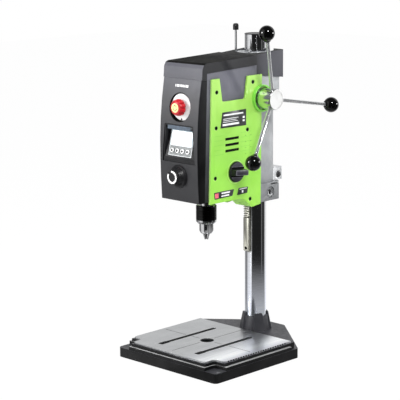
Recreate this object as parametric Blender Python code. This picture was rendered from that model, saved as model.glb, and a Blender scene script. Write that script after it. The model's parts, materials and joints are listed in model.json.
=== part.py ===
# Benchtop drill press whose whole head slides on its column, moved by a rack and a pinion.
# The origin is the foot of the column's axis on the bench. +Y points to the rear, +X to the
# right-hand side seen from the front, +Z up. All lengths are in metres.

import math
import bpy
import bmesh
from mathutils import Matrix, Vector

# Driving dimensions
COLUMN_RADIUS = 0.023
COLUMN_TOP = 0.664
BASE_HALF_WIDTH = 0.1415
BASE_REACH = 0.2716
THROAT = 0.1497
HEAD_HALF_WIDTH = 0.054
HEAD_REACH = 0.2285
HEAD_BOTTOM = 0.343
SEAM_HEIGHT = 0.5895
BLOCK_HALF_WIDTH = 0.043
BLOCK_REAR = 0.031
GUIDE_TOP = 0.621
PINION_HEIGHT = 0.5393
RACK_PITCH = 0.005
PINION_TEETH = 20
RACK_PITCH_LINE = 0.029
CHUCK_RADIUS = 0.0213

# Clearances and overruns that all pieces share
SEAT_GAP = 0.0003
RUNNING_GAP = 0.0005
OVERRUN = 0.002
MERGE_DISTANCE = 0.00001

# Facets of round pieces and of rounded corners
FINE_SEGMENTS = 28
ROUND_SEGMENTS = 20
SMALL_SEGMENTS = 12
SCREW_SEGMENTS = 8
CORNER_STEPS = 3
SHARP_EDGE_DEGREES = 35

# Tooth form, as shares of the module and of one tooth pitch
TOOTH_TIP_SHARE = 0.9
TOOTH_ROOT_SHARE = 1.2
TOOTH_TIP_HALF_SHARE = 0.1
TOOTH_ROOT_HALF_SHARE = 0.28

# Axes that several pieces share
SPINDLE_Y = -THROAT
RACK_MODULE = RACK_PITCH / math.pi
PINION_RADIUS = PINION_TEETH * RACK_MODULE / 2
PINION_Y = -RACK_PITCH_LINE - PINION_RADIUS
UP = Vector((0, 0, 1))
FORWARD = Vector((0, -1, 0))
RIGHT = Vector((1, 0, 0))


# Scene, objects and Booleans

def clear_scene():
    for item in list(bpy.data.objects):
        bpy.data.objects.remove(item, do_unlink=True)


def make_material(name, color, roughness, metallic=0.0):
    material = bpy.data.materials.new(name)
    material.use_nodes = True
    shader = material.node_tree.nodes["Principled BSDF"]
    shader.inputs["Base Color"].default_value = (*color, 1.0)
    shader.inputs["Roughness"].default_value = roughness
    shader.inputs["Metallic"].default_value = metallic
    material.diffuse_color = (*color, 1.0)
    return material


def make_pivot(name, location):
    """An empty on a joint's axis; the pieces that move about it are its children."""
    pivot = bpy.data.objects.new(name, None)
    bpy.context.scene.collection.objects.link(pivot)
    pivot.location = location
    return pivot


def make_object(name, bm, material=None, pivot=None):
    """Make an object of a mesh in world coordinates, with its origin on the pivot if it has one."""
    bmesh.ops.recalc_face_normals(bm, faces=bm.faces[:])
    mesh = bpy.data.meshes.new(name)
    item = bpy.data.objects.new(name, mesh)
    bpy.context.scene.collection.objects.link(item)
    if pivot is not None:
        bmesh.ops.translate(bm, verts=bm.verts[:], vec=-pivot.location)
        item.parent = pivot
    bm.to_mesh(mesh)
    bm.free()
    mesh.shade_smooth()
    mesh.set_sharp_from_angle(angle=math.radians(SHARP_EDGE_DEGREES))
    if material is not None:
        mesh.materials.append(material)
    return item


def add_boolean(target, name, guide, operation):
    """Join or cut with a second shape, which stays in the scene as a hidden guide."""
    if isinstance(guide, bmesh.types.BMesh):
        guide = make_object(target.name + "_" + name, guide)
    guide.hide_render = True
    guide.display_type = 'WIRE'
    modifier = target.modifiers.new(name, 'BOOLEAN')
    modifier.operation = operation
    modifier.solver = 'EXACT'
    modifier.object = guide


def join(target, name, bm):
    add_boolean(target, name, bm, 'UNION')


def cut(target, name, bm):
    add_boolean(target, name, bm, 'DIFFERENCE')


# Outlines

def rounded(corners):
    """Outline through corners (x, y, radius), with an arc at each corner that has a radius."""
    outline = []
    for index, (x, y, radius) in enumerate(corners):
        if radius <= 0:
            outline.append((x, y))
            continue
        here = Vector((x, y))
        to_before = (Vector(corners[index - 1][:2]) - here).normalized()
        to_after = (Vector(corners[(index + 1) % len(corners)][:2]) - here).normalized()
        half_angle = to_before.angle(to_after) / 2
        center = here + (to_before + to_after).normalized() * (radius / math.sin(half_angle))
        start = here + to_before * (radius / math.tan(half_angle)) - center
        end = here + to_after * (radius / math.tan(half_angle)) - center
        sweep = start.angle(end)
        for step in range(CORNER_STEPS + 1):
            part = sweep * step / CORNER_STEPS
            point = center + (start * math.sin(sweep - part) + end * math.sin(part)) / math.sin(sweep)
            outline.append((point.x, point.y))
    return outline


def mirrored(corners):
    """Close a right-hand half outline with its mirror image about x = 0."""
    return corners + [(-x, y, radius) for x, y, radius in reversed(corners)]


def rectangle(half_width, low_y, high_y, radius=0):
    return rounded(mirrored([(half_width, low_y, radius), (half_width, high_y, radius)]))


def regular(radius, segments):
    turn = 2 * math.pi / segments
    return [(radius * math.cos(turn * step), radius * math.sin(turn * step)) for step in range(segments)]


def clipped_circle(radius, top_y, segments):
    """Circle with a flat across its rear at top_y."""
    clip = math.asin(top_y / radius)
    sweep = math.pi + 2 * clip
    return [(radius * math.cos(math.pi - clip + sweep * step / segments),
             radius * math.sin(math.pi - clip + sweep * step / segments)) for step in range(segments + 1)]


def gear_outline(teeth, module, phase=0.0):
    """Gear with straight-sided teeth; the middle of one tooth lies at the angle phase."""
    tip = module * (teeth / 2 + TOOTH_TIP_SHARE)
    root = module * (teeth / 2 - TOOTH_ROOT_SHARE)
    outline = []
    for tooth in range(teeth):
        for radius, share in ((root, -TOOTH_ROOT_HALF_SHARE), (tip, -TOOTH_TIP_HALF_SHARE),
                              (tip, TOOTH_TIP_HALF_SHARE), (root, TOOTH_ROOT_HALF_SHARE)):
            angle = phase + (tooth + share) * 2 * math.pi / teeth
            outline.append((radius * math.cos(angle), radius * math.sin(angle)))
    return outline


# Solids

def stack(outlines, heights):
    """Loft a solid through outlines of equal point counts, one at each height."""
    bm = bmesh.new()
    rings = []
    for outline, height in zip(outlines, heights):
        rings.append([bm.verts.new((x, y, height)) for x, y in outline])
    bm.faces.new(rings[0])
    bm.faces.new(rings[-1])
    bridge_rings(bm, rings)
    return bm


def bridge_rings(bm, rings):
    count = len(rings[0])
    for lower, upper in zip(rings, rings[1:]):
        for index in range(count):
            after = (index + 1) % count
            bm.faces.new((lower[index], lower[after], upper[after], upper[index]))


def prism(outline, low, high):
    return stack([outline, outline], [low, high])


def box(low, high):
    outline = [(low[0], low[1]), (high[0], low[1]), (high[0], high[1]), (low[0], high[1])]
    return prism(outline, low[2], high[2])


def lathe(profile, segments):
    """Revolve (radius, height) points about Z. A profile off the axis closes on itself."""
    bm = bmesh.new()
    verts = [bm.verts.new((radius, 0, height)) for radius, height in profile]
    edges = [bm.edges.new(pair) for pair in zip(verts, verts[1:])]
    if profile[0][0] > 0 or profile[-1][0] > 0:
        edges.append(bm.edges.new((verts[-1], verts[0])))
    bmesh.ops.spin(bm, geom=verts + edges, cent=(0, 0, 0), axis=UP, angle=2 * math.pi,
                   steps=segments, use_merge=True, use_duplicate=False)
    bmesh.ops.remove_doubles(bm, verts=bm.verts[:], dist=MERGE_DISTANCE)
    return bm


def cylinder(radius, low, high, segments):
    return prism(regular(radius, segments), low, high)


def tube(inner, outer, low, high, segments):
    return lathe([(inner, low), (outer, low), (outer, high), (inner, high)], segments)


def moved(bm, x, y, z):
    bmesh.ops.translate(bm, verts=bm.verts[:], vec=(x, y, z))
    return bm


def spun(bm, angle):
    bmesh.ops.rotate(bm, verts=bm.verts[:], cent=(0, 0, 0), matrix=Matrix.Rotation(angle, 3, 'Z'))
    return bm


def aimed(bm, direction, position):
    """Turn a solid made along +Z to point along direction, and set its foot at position."""
    turn = UP.rotation_difference(Vector(direction)).to_matrix().to_4x4()
    bmesh.ops.transform(bm, matrix=Matrix.Translation(position) @ turn, verts=bm.verts[:])
    return bm


def side_prism(outline, first_x, second_x):
    """Extrude an outline given in (y, z) along X."""
    bm = prism(outline, min(first_x, second_x), max(first_x, second_x))
    for vert in bm.verts:
        vert.co = (vert.co.z, vert.co.x, vert.co.y)
    return bm


def front_prism(outline, low_y, high_y):
    """Extrude an outline given in (x, z) along Y."""
    bm = prism(outline, low_y, high_y)
    for vert in bm.verts:
        vert.co = (vert.co.x, vert.co.z, vert.co.y)
    return bm


def socket_screw(head_radius, head_length, shank_radius, shank_length):
    """Cap screw along Z with its head's face at 0 and its tip below."""
    socket = head_radius / 2
    depth = head_length / 2
    return lathe([(0, -depth), (socket, -depth), (socket, 0), (head_radius, 0),
                  (head_radius, -head_length), (shank_radius, -head_length),
                  (shank_radius, -head_length - shank_length), (0, -head_length - shank_length)],
                 SCREW_SEGMENTS)


def side_name(side):
    return "right" if side > 0 else "left"


# Base casting: hollow plinth, flange with bolt-down corners, deck and column socket
plinth_height = 0.020
flange_height = 0.027
deck_height = 0.033
base_corner_radius = 0.009
base_shoulder = -0.0238
base_tail_half = 0.0345
base_tail = 0.0655
pad_size = 0.031
pad_fillet = 0.008
rear_pad_length = 0.019
flange_inset = 0.001
deck_inset = 0.0075
deck_front_inset = 0.0056
base_wall = 0.007
base_roof = 0.007
rib_width = 0.007
rib_foot = 0.004
post_foot = 0.012
socket_wall = 0.0025
socket_flare = 0.0045
socket_top = 0.064
socket_floor = 0.006
socket_pad_radius = 0.036
gusset_count = 4
gusset_turn_share = 0.633
gusset_top_width = 0.0165
gusset_foot_width = 0.028
gusset_reach = 0.0325
gusset_rise = 0.006


def base_half_outline(inset):
    """Half outline of the plinth: a straight side, then a taper to the tail."""
    half = BASE_HALF_WIDTH - inset
    return [(half, -BASE_REACH + inset, base_corner_radius),
            (half, base_shoulder - inset / 2, base_corner_radius),
            (base_tail_half - inset / 3, base_tail - inset, base_corner_radius)]


def notched_half_outline(inset, front_inset, pad):
    """The same outline with a square notch over the front bolt-down pad."""
    half = BASE_HALF_WIDTH - inset
    front = -BASE_REACH + front_inset
    return [(half - pad, front, 0), (half - pad, front + pad, pad_fillet), (half, front + pad, 0),
            (half, base_shoulder - inset / 2, 0),
            (base_tail_half - inset / 3, base_tail - inset, base_corner_radius)]


def flange_half_outline():
    """The flange steps in to the deck's outline behind its rear pad."""
    corners = notched_half_outline(flange_inset, flange_inset, pad_size)[:3]
    deck = notched_half_outline(deck_inset, deck_front_inset, pad_size)[3:]
    step = base_shoulder - rear_pad_length
    return corners + [(BASE_HALF_WIDTH - flange_inset, step, 0), (deck[0][0], step, 0)] + deck


def make_base_casting(material):
    base = make_object("base_casting", prism(rounded(mirrored(base_half_outline(0))), 0, plinth_height), material)
    join(base, "flange", prism(rounded(mirrored(flange_half_outline())), plinth_height - OVERRUN, flange_height))
    deck = notched_half_outline(deck_inset, deck_front_inset, pad_size - deck_inset / 2)
    join(base, "deck", prism(rounded(mirrored(deck)), flange_height - OVERRUN, deck_height))
    cut(base, "cavity", prism(rounded(mirrored(base_half_outline(base_wall))), -OVERRUN, plinth_height - base_roof))
    upper = notched_half_outline(deck_inset + base_wall, deck_front_inset + base_wall, pad_size)
    cut(base, "upper_cavity", prism(rounded(mirrored(upper)), 0, deck_height - base_roof))
    for name, solid in base_stiffeners():
        join(base, name, solid)
    outer = COLUMN_RADIUS + SEAT_GAP + socket_wall
    socket = lathe([(0, 0), (socket_pad_radius, 0), (socket_pad_radius, deck_height - OVERRUN),
                    (outer + socket_flare, deck_height), (outer, socket_top), (0, socket_top)], FINE_SEGMENTS)
    join(base, "socket", socket)
    for index in range(gusset_count):
        join(base, "gusset_%d" % (index + 1), socket_gusset(index, outer))
    cut(base, "socket_bore", cylinder(COLUMN_RADIUS + SEAT_GAP, socket_floor,
                                      socket_top + gusset_rise + OVERRUN, FINE_SEGMENTS))
    cut(base, "hole", moved(cylinder(table_hole_radius, -OVERRUN, deck_height + OVERRUN, ROUND_SEGMENTS),
                            0, SPINDLE_Y, 0))
    for side in (-1, 1):
        middle = side * slot_offset
        cut(base, "slot_channel_" + side_name(side),
            box((middle - channel_half_width, slot_front, deck_height - channel_depth),
                (middle + channel_half_width, slot_rear, deck_height + OVERRUN)))
    for index, y in enumerate(table_screw_places()):
        bore = cylinder(table_screw_radius + SEAT_GAP, rib_foot, deck_height + OVERRUN, SCREW_SEGMENTS)
        cut(base, "table_screw_bore_%d" % (index + 1), moved(bore, 0, y, 0))


def base_stiffeners():
    """Ribs and posts that stand down from the roof inside the hollow base."""
    top = deck_height - base_roof + OVERRUN
    half = BASE_HALF_WIDTH - deck_inset - base_wall / 2
    front = -BASE_REACH + deck_front_inset + base_wall / 2
    solids = []
    for side in (-1, 1):
        middle = side * slot_offset / 2
        solids.append(("long_rib_" + side_name(side), box((middle - rib_width / 2, front, rib_foot),
                                                          (middle + rib_width / 2, 0, top))))
    solids.append(("cross_rib", box((-half, SPINDLE_Y - rib_width / 2, rib_foot),
                                    (half, SPINDLE_Y + rib_width / 2, top))))
    boss = cylinder(table_hole_radius + base_wall, rib_foot, top, ROUND_SEGMENTS)
    solids.append(("hole_boss", moved(boss, 0, SPINDLE_Y, 0)))
    for index, y in enumerate(table_screw_places()):
        post = cylinder(table_screw_head_radius + SEAT_GAP, post_foot, top, SCREW_SEGMENTS)
        solids.append(("table_post_%d" % (index + 1), moved(post, 0, y, 0)))
    return solids


def socket_gusset(index, socket_outer):
    """Tapered web of the column socket whose tip stands a little above the socket's rim."""
    inner = COLUMN_RADIUS / 2
    reach = socket_outer + SEAT_GAP
    foot = [(inner, -gusset_foot_width / 2), (gusset_reach, -gusset_foot_width / 2),
            (gusset_reach, gusset_foot_width / 2), (inner, gusset_foot_width / 2)]
    tip = [(inner, -gusset_top_width / 2), (reach, -gusset_top_width / 2),
           (reach, gusset_top_width / 2), (inner, gusset_top_width / 2)]
    web = stack([foot, tip], [deck_height - OVERRUN, socket_top + gusset_rise])
    return spun(web, 2 * math.pi / gusset_count * (index + gusset_turn_share))


# Work table: steel plate with two slots for T bolts and a hole under the spindle
table_thickness = 0.0032
table_half_width = 0.1314
table_front = -0.2635
table_rear = -0.0352
table_notch = 0.0265
table_corner_radius = 0.008
table_hole_radius = 0.0145
slot_offset = 0.0525
slot_half_width = 0.0035
slot_front = -0.236
slot_rear = -0.069
slot_head_half_width = 0.0065
slot_head_length = 0.024
slot_fillet = 0.0032
channel_half_width = 0.009
channel_depth = 0.005
table_screw_radius = 0.003
table_screw_head_radius = 0.0052
table_screw_head_length = 0.004
table_screw_margin = 0.040
table_screw_bite = 0.0016


def table_screw_places():
    return [table_front + table_screw_margin, table_rear - table_screw_margin]


def make_work_table(material):
    bottom = deck_height + SEAT_GAP
    top = bottom + table_thickness
    notch_x = table_half_width - table_notch
    notch_y = table_front + table_notch
    corners = [(notch_x, table_front, table_corner_radius), (notch_x, notch_y, table_corner_radius),
               (table_half_width, notch_y, table_corner_radius), (table_half_width, table_rear, 0)]
    table = make_object("work_table", prism(rounded(mirrored(corners)), bottom, top), material)
    cut(table, "hole", moved(cylinder(table_hole_radius, bottom - OVERRUN, top + OVERRUN, ROUND_SEGMENTS),
                             0, SPINDLE_Y, 0))
    for side in (-1, 1):
        slot = rectangle(slot_half_width, slot_front + slot_fillet, slot_rear, slot_fillet)
        cut(table, "slot_" + side_name(side),
            moved(prism(slot, bottom - OVERRUN, top + OVERRUN), side * slot_offset, 0, 0))
        head = rectangle(slot_head_half_width, slot_front, slot_front + slot_head_length, slot_fillet)
        cut(table, "slot_head_" + side_name(side),
            moved(prism(head, bottom - OVERRUN, top + OVERRUN), side * slot_offset, 0, 0))
    for index, y in enumerate(table_screw_places()):
        thread = cylinder(table_screw_radius + SEAT_GAP, bottom - OVERRUN,
                          bottom + table_screw_bite + SEAT_GAP, SCREW_SEGMENTS)
        cut(table, "thread_%d" % (index + 1), moved(thread, 0, y, 0))


def make_table_screws(material):
    """Cap screws, put in from below, that hold the table down on the base casting."""
    tip = deck_height + SEAT_GAP + table_screw_bite
    head_top = post_foot - SEAT_GAP
    for index, y in enumerate(table_screw_places()):
        screw = socket_screw(table_screw_head_radius, table_screw_head_length, table_screw_radius,
                             tip - head_top)
        make_object("table_screw_%d" % (index + 1),
                    aimed(screw, -UP, (0, y, head_top - table_screw_head_length)), material)


# Column: steel tube with a milled flat for the rack, and its cap
column_wall = 0.003
column_cap_thickness = 0.0015
column_cap_plug = 0.009
rack_flat = 0.0014


def make_column_tube(material):
    column = make_object("column_tube", tube(COLUMN_RADIUS - column_wall, COLUMN_RADIUS, socket_floor + SEAT_GAP,
                                             COLUMN_TOP, FINE_SEGMENTS), material)
    cut(column, "rack_flat", box((-COLUMN_RADIUS, -COLUMN_RADIUS - OVERRUN, rack_bottom - OVERRUN),
                                 (COLUMN_RADIUS, -COLUMN_RADIUS + rack_flat, rack_top + OVERRUN)))
    for index, height in enumerate(rack_screw_heights()):
        bore = cylinder(rack_screw_radius + SEAT_GAP, COLUMN_RADIUS / 2, COLUMN_RADIUS + OVERRUN, SCREW_SEGMENTS)
        cut(column, "rack_screw_bore_%d" % (index + 1), aimed(bore, FORWARD, (0, 0, height)))


def make_column_cap(material):
    plug = COLUMN_RADIUS - column_wall - SEAT_GAP
    low = COLUMN_TOP + SEAT_GAP
    top = low + column_cap_thickness
    cap = lathe([(0, COLUMN_TOP - column_cap_plug), (plug, COLUMN_TOP - column_cap_plug), (plug, low),
                 (COLUMN_RADIUS, low), (COLUMN_RADIUS, low + column_cap_thickness / 2),
                 (COLUMN_RADIUS - column_cap_thickness / 2, top), (0, top)], FINE_SEGMENTS)
    make_object("column_cap", cap, material)


# Rack on the front of the column, with its two screws
rack_half_width = 0.007
rack_bottom = 0.206
rack_teeth_bottom = 0.279
rack_top = 0.587
rack_end_margin = 0.0075
rack_end_chamfer = 0.003
rack_screw_radius = 0.002
rack_screw_head_radius = 0.0034
rack_screw_head_length = 0.003
rack_screw_sink = 0.0005


def rack_front():
    return -RACK_PITCH_LINE - RACK_MODULE * TOOTH_TIP_SHARE


def rack_screw_heights():
    return [rack_bottom + rack_end_margin, rack_top - rack_end_margin]


def make_rack(material):
    """Straight teeth, set so that a tooth of the pinion faces a gap."""
    back = -COLUMN_RADIUS + rack_flat - SEAT_GAP
    root = -RACK_PITCH_LINE + RACK_MODULE * TOOTH_ROOT_SHARE
    front = rack_front()
    outline = [(back, rack_bottom), (front + rack_end_chamfer, rack_bottom),
               (front, rack_bottom + rack_end_chamfer), (front, rack_teeth_bottom)]
    first = math.ceil((rack_teeth_bottom - PINION_HEIGHT) / RACK_PITCH)
    last = math.floor((rack_top - 2 * rack_end_margin - PINION_HEIGHT) / RACK_PITCH)
    for tooth in range(first, last):
        middle = PINION_HEIGHT + (tooth + 1 / 2) * RACK_PITCH
        for y, share in ((root, -TOOTH_ROOT_HALF_SHARE), (front, -TOOTH_TIP_HALF_SHARE),
                         (front, TOOTH_TIP_HALF_SHARE), (root, TOOTH_ROOT_HALF_SHARE)):
            outline.append((y, middle + share * RACK_PITCH))
    outline += [(front, PINION_HEIGHT + last * RACK_PITCH), (front, rack_top), (back, rack_top)]
    rack = make_object("rack", side_prism(outline, -rack_half_width, rack_half_width), material)
    seat = -front - rack_screw_head_length - rack_screw_sink - SEAT_GAP
    for index, height in enumerate(rack_screw_heights()):
        head = cylinder(rack_screw_head_radius + SEAT_GAP, seat, -front + OVERRUN, SCREW_SEGMENTS)
        cut(rack, "counterbore_%d" % (index + 1), aimed(head, FORWARD, (0, 0, height)))
        shank = cylinder(rack_screw_radius + SEAT_GAP, COLUMN_RADIUS / 2, -front, SCREW_SEGMENTS)
        cut(rack, "screw_bore_%d" % (index + 1), aimed(shank, FORWARD, (0, 0, height)))


def make_rack_screws(material):
    face = rack_front() + rack_screw_sink
    shank_length = -face - rack_screw_head_length - COLUMN_RADIUS + column_wall
    for index, height in enumerate(rack_screw_heights()):
        screw = socket_screw(rack_screw_head_radius, rack_screw_head_length, rack_screw_radius, shank_length)
        make_object("rack_screw_%d" % (index + 1), aimed(screw, FORWARD, (0, face, height)), material)


# Head casting: guides on the column, clamp band, pinion barrel and gearcase
guide_front = -0.066
upper_guide_bottom = 0.520
ring_radius = 0.039
ring_height = 0.007
waist_half_width = 0.037
relief_radius = 0.0255
lower_guide_bottom = 0.318
lower_guide_front = -0.040
band_bottom = 0.354
band_top = 0.382
slit_width = 0.003
slit_front = 0.001
lug_half_width = 0.0245
lug_rear = 0.0555
split_half_width = 0.0012
block_fillet = 0.008
case_half_width = 0.0502
case_front = -0.190
case_rear = -0.060
case_top = 0.379
case_wall = 0.005
chamber_floor = 0.363
barrel_radius = 0.025
rack_channel_half_width = 0.0085
rack_channel_gap = 0.001


def case_bottom():
    return HEAD_BOTTOM + cover_floor + SEAT_GAP


def guide_outline(front):
    return rounded(mirrored([(BLOCK_HALF_WIDTH, front, 0), (BLOCK_HALF_WIDTH, BLOCK_REAR, block_fillet)]))


def waist_outline():
    """Straight sides with a half circle round the column at the rear."""
    outline = [(-waist_half_width, guide_front), (waist_half_width, guide_front)]
    steps = 4 * CORNER_STEPS
    for step in range(steps + 1):
        angle = math.pi * step / steps
        outline.append((waist_half_width * math.cos(angle), waist_half_width * math.sin(angle)))
    return outline


def make_head_casting(material):
    casting = make_object("head_casting", prism(guide_outline(guide_front), upper_guide_bottom, GUIDE_TOP), material)
    top = GUIDE_TOP + ring_height
    join(casting, "ring", prism(clipped_circle(ring_radius, BLOCK_REAR - SEAT_GAP, ROUND_SEGMENTS),
                                GUIDE_TOP - OVERRUN, top))
    join(casting, "waist", prism(waist_outline(), band_bottom, upper_guide_bottom + OVERRUN))
    join(casting, "lower_guide", prism(guide_outline(lower_guide_front), lower_guide_bottom, band_bottom + OVERRUN))
    join(casting, "gearcase", box((-case_half_width, case_front, case_bottom()),
                                  (case_half_width, case_rear, case_top)))
    join(casting, "bridge", box((-waist_half_width + OVERRUN, case_rear - OVERRUN, case_bottom()),
                                (waist_half_width - OVERRUN, 0, band_top - OVERRUN)))
    join(casting, "lugs", box((-lug_half_width, OVERRUN, band_bottom), (lug_half_width, lug_rear, band_top)))
    axis = (0, PINION_Y, PINION_HEIGHT)
    join(casting, "barrel", aimed(cylinder(barrel_radius, -case_half_width, case_half_width, FINE_SEGMENTS),
                                  RIGHT, axis))
    cut(casting, "column_bore", cylinder(COLUMN_RADIUS + SEAT_GAP, lower_guide_bottom - OVERRUN, top + OVERRUN,
                                         FINE_SEGMENTS))
    cut(casting, "relief", cylinder(relief_radius, band_top + OVERRUN, upper_guide_bottom, ROUND_SEGMENTS))
    cut(casting, "rack_channel", box((-rack_channel_half_width, rack_front() - rack_channel_gap,
                                      lower_guide_bottom - OVERRUN),
                                     (rack_channel_half_width, 0, top + OVERRUN)))
    cut(casting, "pinion_bore", aimed(cylinder(bush_radius + SEAT_GAP, -case_half_width - OVERRUN,
                                               bush_start, ROUND_SEGMENTS), RIGHT, axis))
    cut(casting, "shaft_bore", aimed(cylinder(shaft_radius + SEAT_GAP, 0, case_half_width + OVERRUN,
                                              ROUND_SEGMENTS), RIGHT, axis))
    cut(casting, "slit", box((-2 * BLOCK_HALF_WIDTH, slit_front, band_bottom - slit_width),
                             (2 * BLOCK_HALF_WIDTH, 2 * lug_rear, band_bottom)))
    cut(casting, "split", box((-split_half_width, COLUMN_RADIUS - OVERRUN, band_bottom - OVERRUN),
                              (split_half_width, 2 * lug_rear, band_top + RUNNING_GAP)))
    rod_bore = cylinder(rod_radius + SEAT_GAP, rod_bottom - SEAT_GAP, GUIDE_TOP + OVERRUN, SCREW_SEGMENTS)
    cut(casting, "rod_bore", moved(rod_bore, rod_x, rod_y, 0))
    cut_gearcase(casting)
    cut_clamp_bores(casting)


def cut_gearcase(casting):
    """Chamber for the gears and seat for the lower spindle bearing."""
    chamber = rectangle(case_half_width - case_wall, case_front + case_wall, guide_front - case_wall, block_fillet)
    cut(casting, "chamber", prism(chamber, chamber_floor, case_top + OVERRUN))
    seat = cylinder(lower_bearing_outer + SEAT_GAP, lower_bearing_bottom - SEAT_GAP, chamber_floor + OVERRUN,
                    ROUND_SEGMENTS)
    cut(casting, "bearing_seat", moved(seat, 0, SPINDLE_Y, 0))
    throat = cylinder(lower_bearing_inner + case_wall, case_bottom() - OVERRUN, lower_bearing_bottom, ROUND_SEGMENTS)
    cut(casting, "spindle_bore", moved(throat, 0, SPINDLE_Y, 0))


def cut_clamp_bores(casting):
    clamp = (0, clamp_screw_y, clamp_screw_height)
    shank = cylinder(clamp_screw_radius + SEAT_GAP, -lug_half_width - OVERRUN, lug_half_width + OVERRUN,
                     SCREW_SEGMENTS)
    cut(casting, "clamp_bore", aimed(shank, RIGHT, clamp))
    head = cylinder(clamp_screw_head_radius + RUNNING_GAP, lug_half_width - clamp_screw_sink - SEAT_GAP,
                    lug_half_width + OVERRUN, SMALL_SEGMENTS)
    cut(casting, "clamp_counterbore", aimed(head, RIGHT, clamp))
    lock = (0, lock_screw_y, lock_screw_height)
    bore = cylinder(lock_screw_radius + SEAT_GAP, COLUMN_RADIUS / 2, BLOCK_HALF_WIDTH + OVERRUN, SMALL_SEGMENTS)
    cut(casting, "lock_bore", aimed(bore, RIGHT, lock))
    recess = cylinder(lock_recess_radius, BLOCK_HALF_WIDTH - lock_recess_depth, BLOCK_HALF_WIDTH + OVERRUN,
                      ROUND_SEGMENTS)
    cut(casting, "lock_recess", aimed(recess, RIGHT, lock))


# Clamp screw across the split lugs, and lock screw against the column
clamp_screw_radius = 0.004
clamp_screw_head_radius = 0.0065
clamp_screw_head_length = 0.008
clamp_screw_sink = 0.007
clamp_screw_y = 0.0445
clamp_screw_height = 0.365
lock_screw_radius = 0.005
lock_screw_y = -0.001
lock_screw_height = 0.3355
lock_recess_radius = 0.0125
lock_recess_depth = 0.003


def make_clamp_screw(material):
    head_seat = lug_half_width - clamp_screw_sink
    screw = socket_screw(clamp_screw_head_radius, clamp_screw_head_length, clamp_screw_radius,
                         head_seat + lug_half_width)
    position = (head_seat + clamp_screw_head_length, clamp_screw_y, clamp_screw_height)
    make_object("clamp_screw", aimed(screw, RIGHT, position), material)


def make_lock_screw(material):
    start = COLUMN_RADIUS + SEAT_GAP
    length = BLOCK_HALF_WIDTH - lock_recess_depth - start
    socket = lock_screw_radius / 2
    screw = lathe([(0, 0), (lock_screw_radius, 0), (lock_screw_radius, length), (socket, length),
                   (socket, length / 2), (0, length / 2)], SMALL_SEGMENTS)
    make_object("lock_screw", aimed(screw, RIGHT, (start, lock_screw_y, lock_screw_height)), material)


# Gearcase lid: carries the motor and the upper spindle bearing
lid_thickness = 0.006
lid_boss_radius = 0.020


def lid_bottom():
    return case_top + SEAT_GAP


def lid_top():
    return lid_bottom() + lid_thickness


def make_gearcase_lid(material):
    lid = make_object("gearcase_lid", box((-case_half_width, case_front, lid_bottom()),
                                          (case_half_width, guide_front - SEAT_GAP, lid_top())), material)
    boss_top = upper_bearing_bottom + upper_bearing_width + SEAT_GAP
    join(lid, "bearing_boss", moved(cylinder(lid_boss_radius, lid_bottom() + OVERRUN, boss_top, ROUND_SEGMENTS),
                                    0, SPINDLE_Y, 0))
    cut(lid, "bearing_seat", moved(cylinder(upper_bearing_outer + SEAT_GAP, upper_bearing_bottom - SEAT_GAP,
                                            boss_top + OVERRUN, ROUND_SEGMENTS), 0, SPINDLE_Y, 0))
    cut(lid, "spindle_hole", moved(cylinder(gear_seat_radius, lid_bottom() - OVERRUN, upper_bearing_bottom,
                                            SMALL_SEGMENTS), 0, SPINDLE_Y, 0))
    cut(lid, "rotor_hole", moved(cylinder(motor_neck_radius / 2, lid_bottom() - OVERRUN, lid_top() + OVERRUN,
                                          SMALL_SEGMENTS), 0, motor_y(), 0))


# Front cover: moulded shell with bowed front, folded sides and a floor under the gearcase
cover_wall = 0.003
cover_floor = 0.003
cover_corner_radius = 0.003
belly_height = 0.450
chin_setback = 0.0035
brow_setback = 0.0133
return_foot = -0.2092
side_lean_share = 0.035
cover_steps = 6
cover_floor_hole = 0.022
board_post_radius = 0.003


def front_face(height):
    """The bowed front of the head: y at a height."""
    if height < belly_height:
        share = (belly_height - height) / (belly_height - HEAD_BOTTOM)
        return -HEAD_REACH + chin_setback * share ** 2
    share = (height - belly_height) / (SEAM_HEIGHT - belly_height)
    return -HEAD_REACH + brow_setback * share ** 2


def return_edge(height):
    """Rear edge of the cover's folded side, which leans back as it rises."""
    return return_foot + side_lean_share * (height - HEAD_BOTTOM)


def cover_solid(low, high, wall, rear_overrun):
    heights = [low + (high - low) * step / cover_steps for step in range(cover_steps + 1)]
    outlines = []
    for height in heights:
        half = HEAD_HALF_WIDTH - wall
        outlines.append(rounded(mirrored([(half, return_edge(height) + rear_overrun, 0),
                                          (half, front_face(height) + wall, cover_corner_radius - wall)])))
    return stack(outlines, heights)


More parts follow.
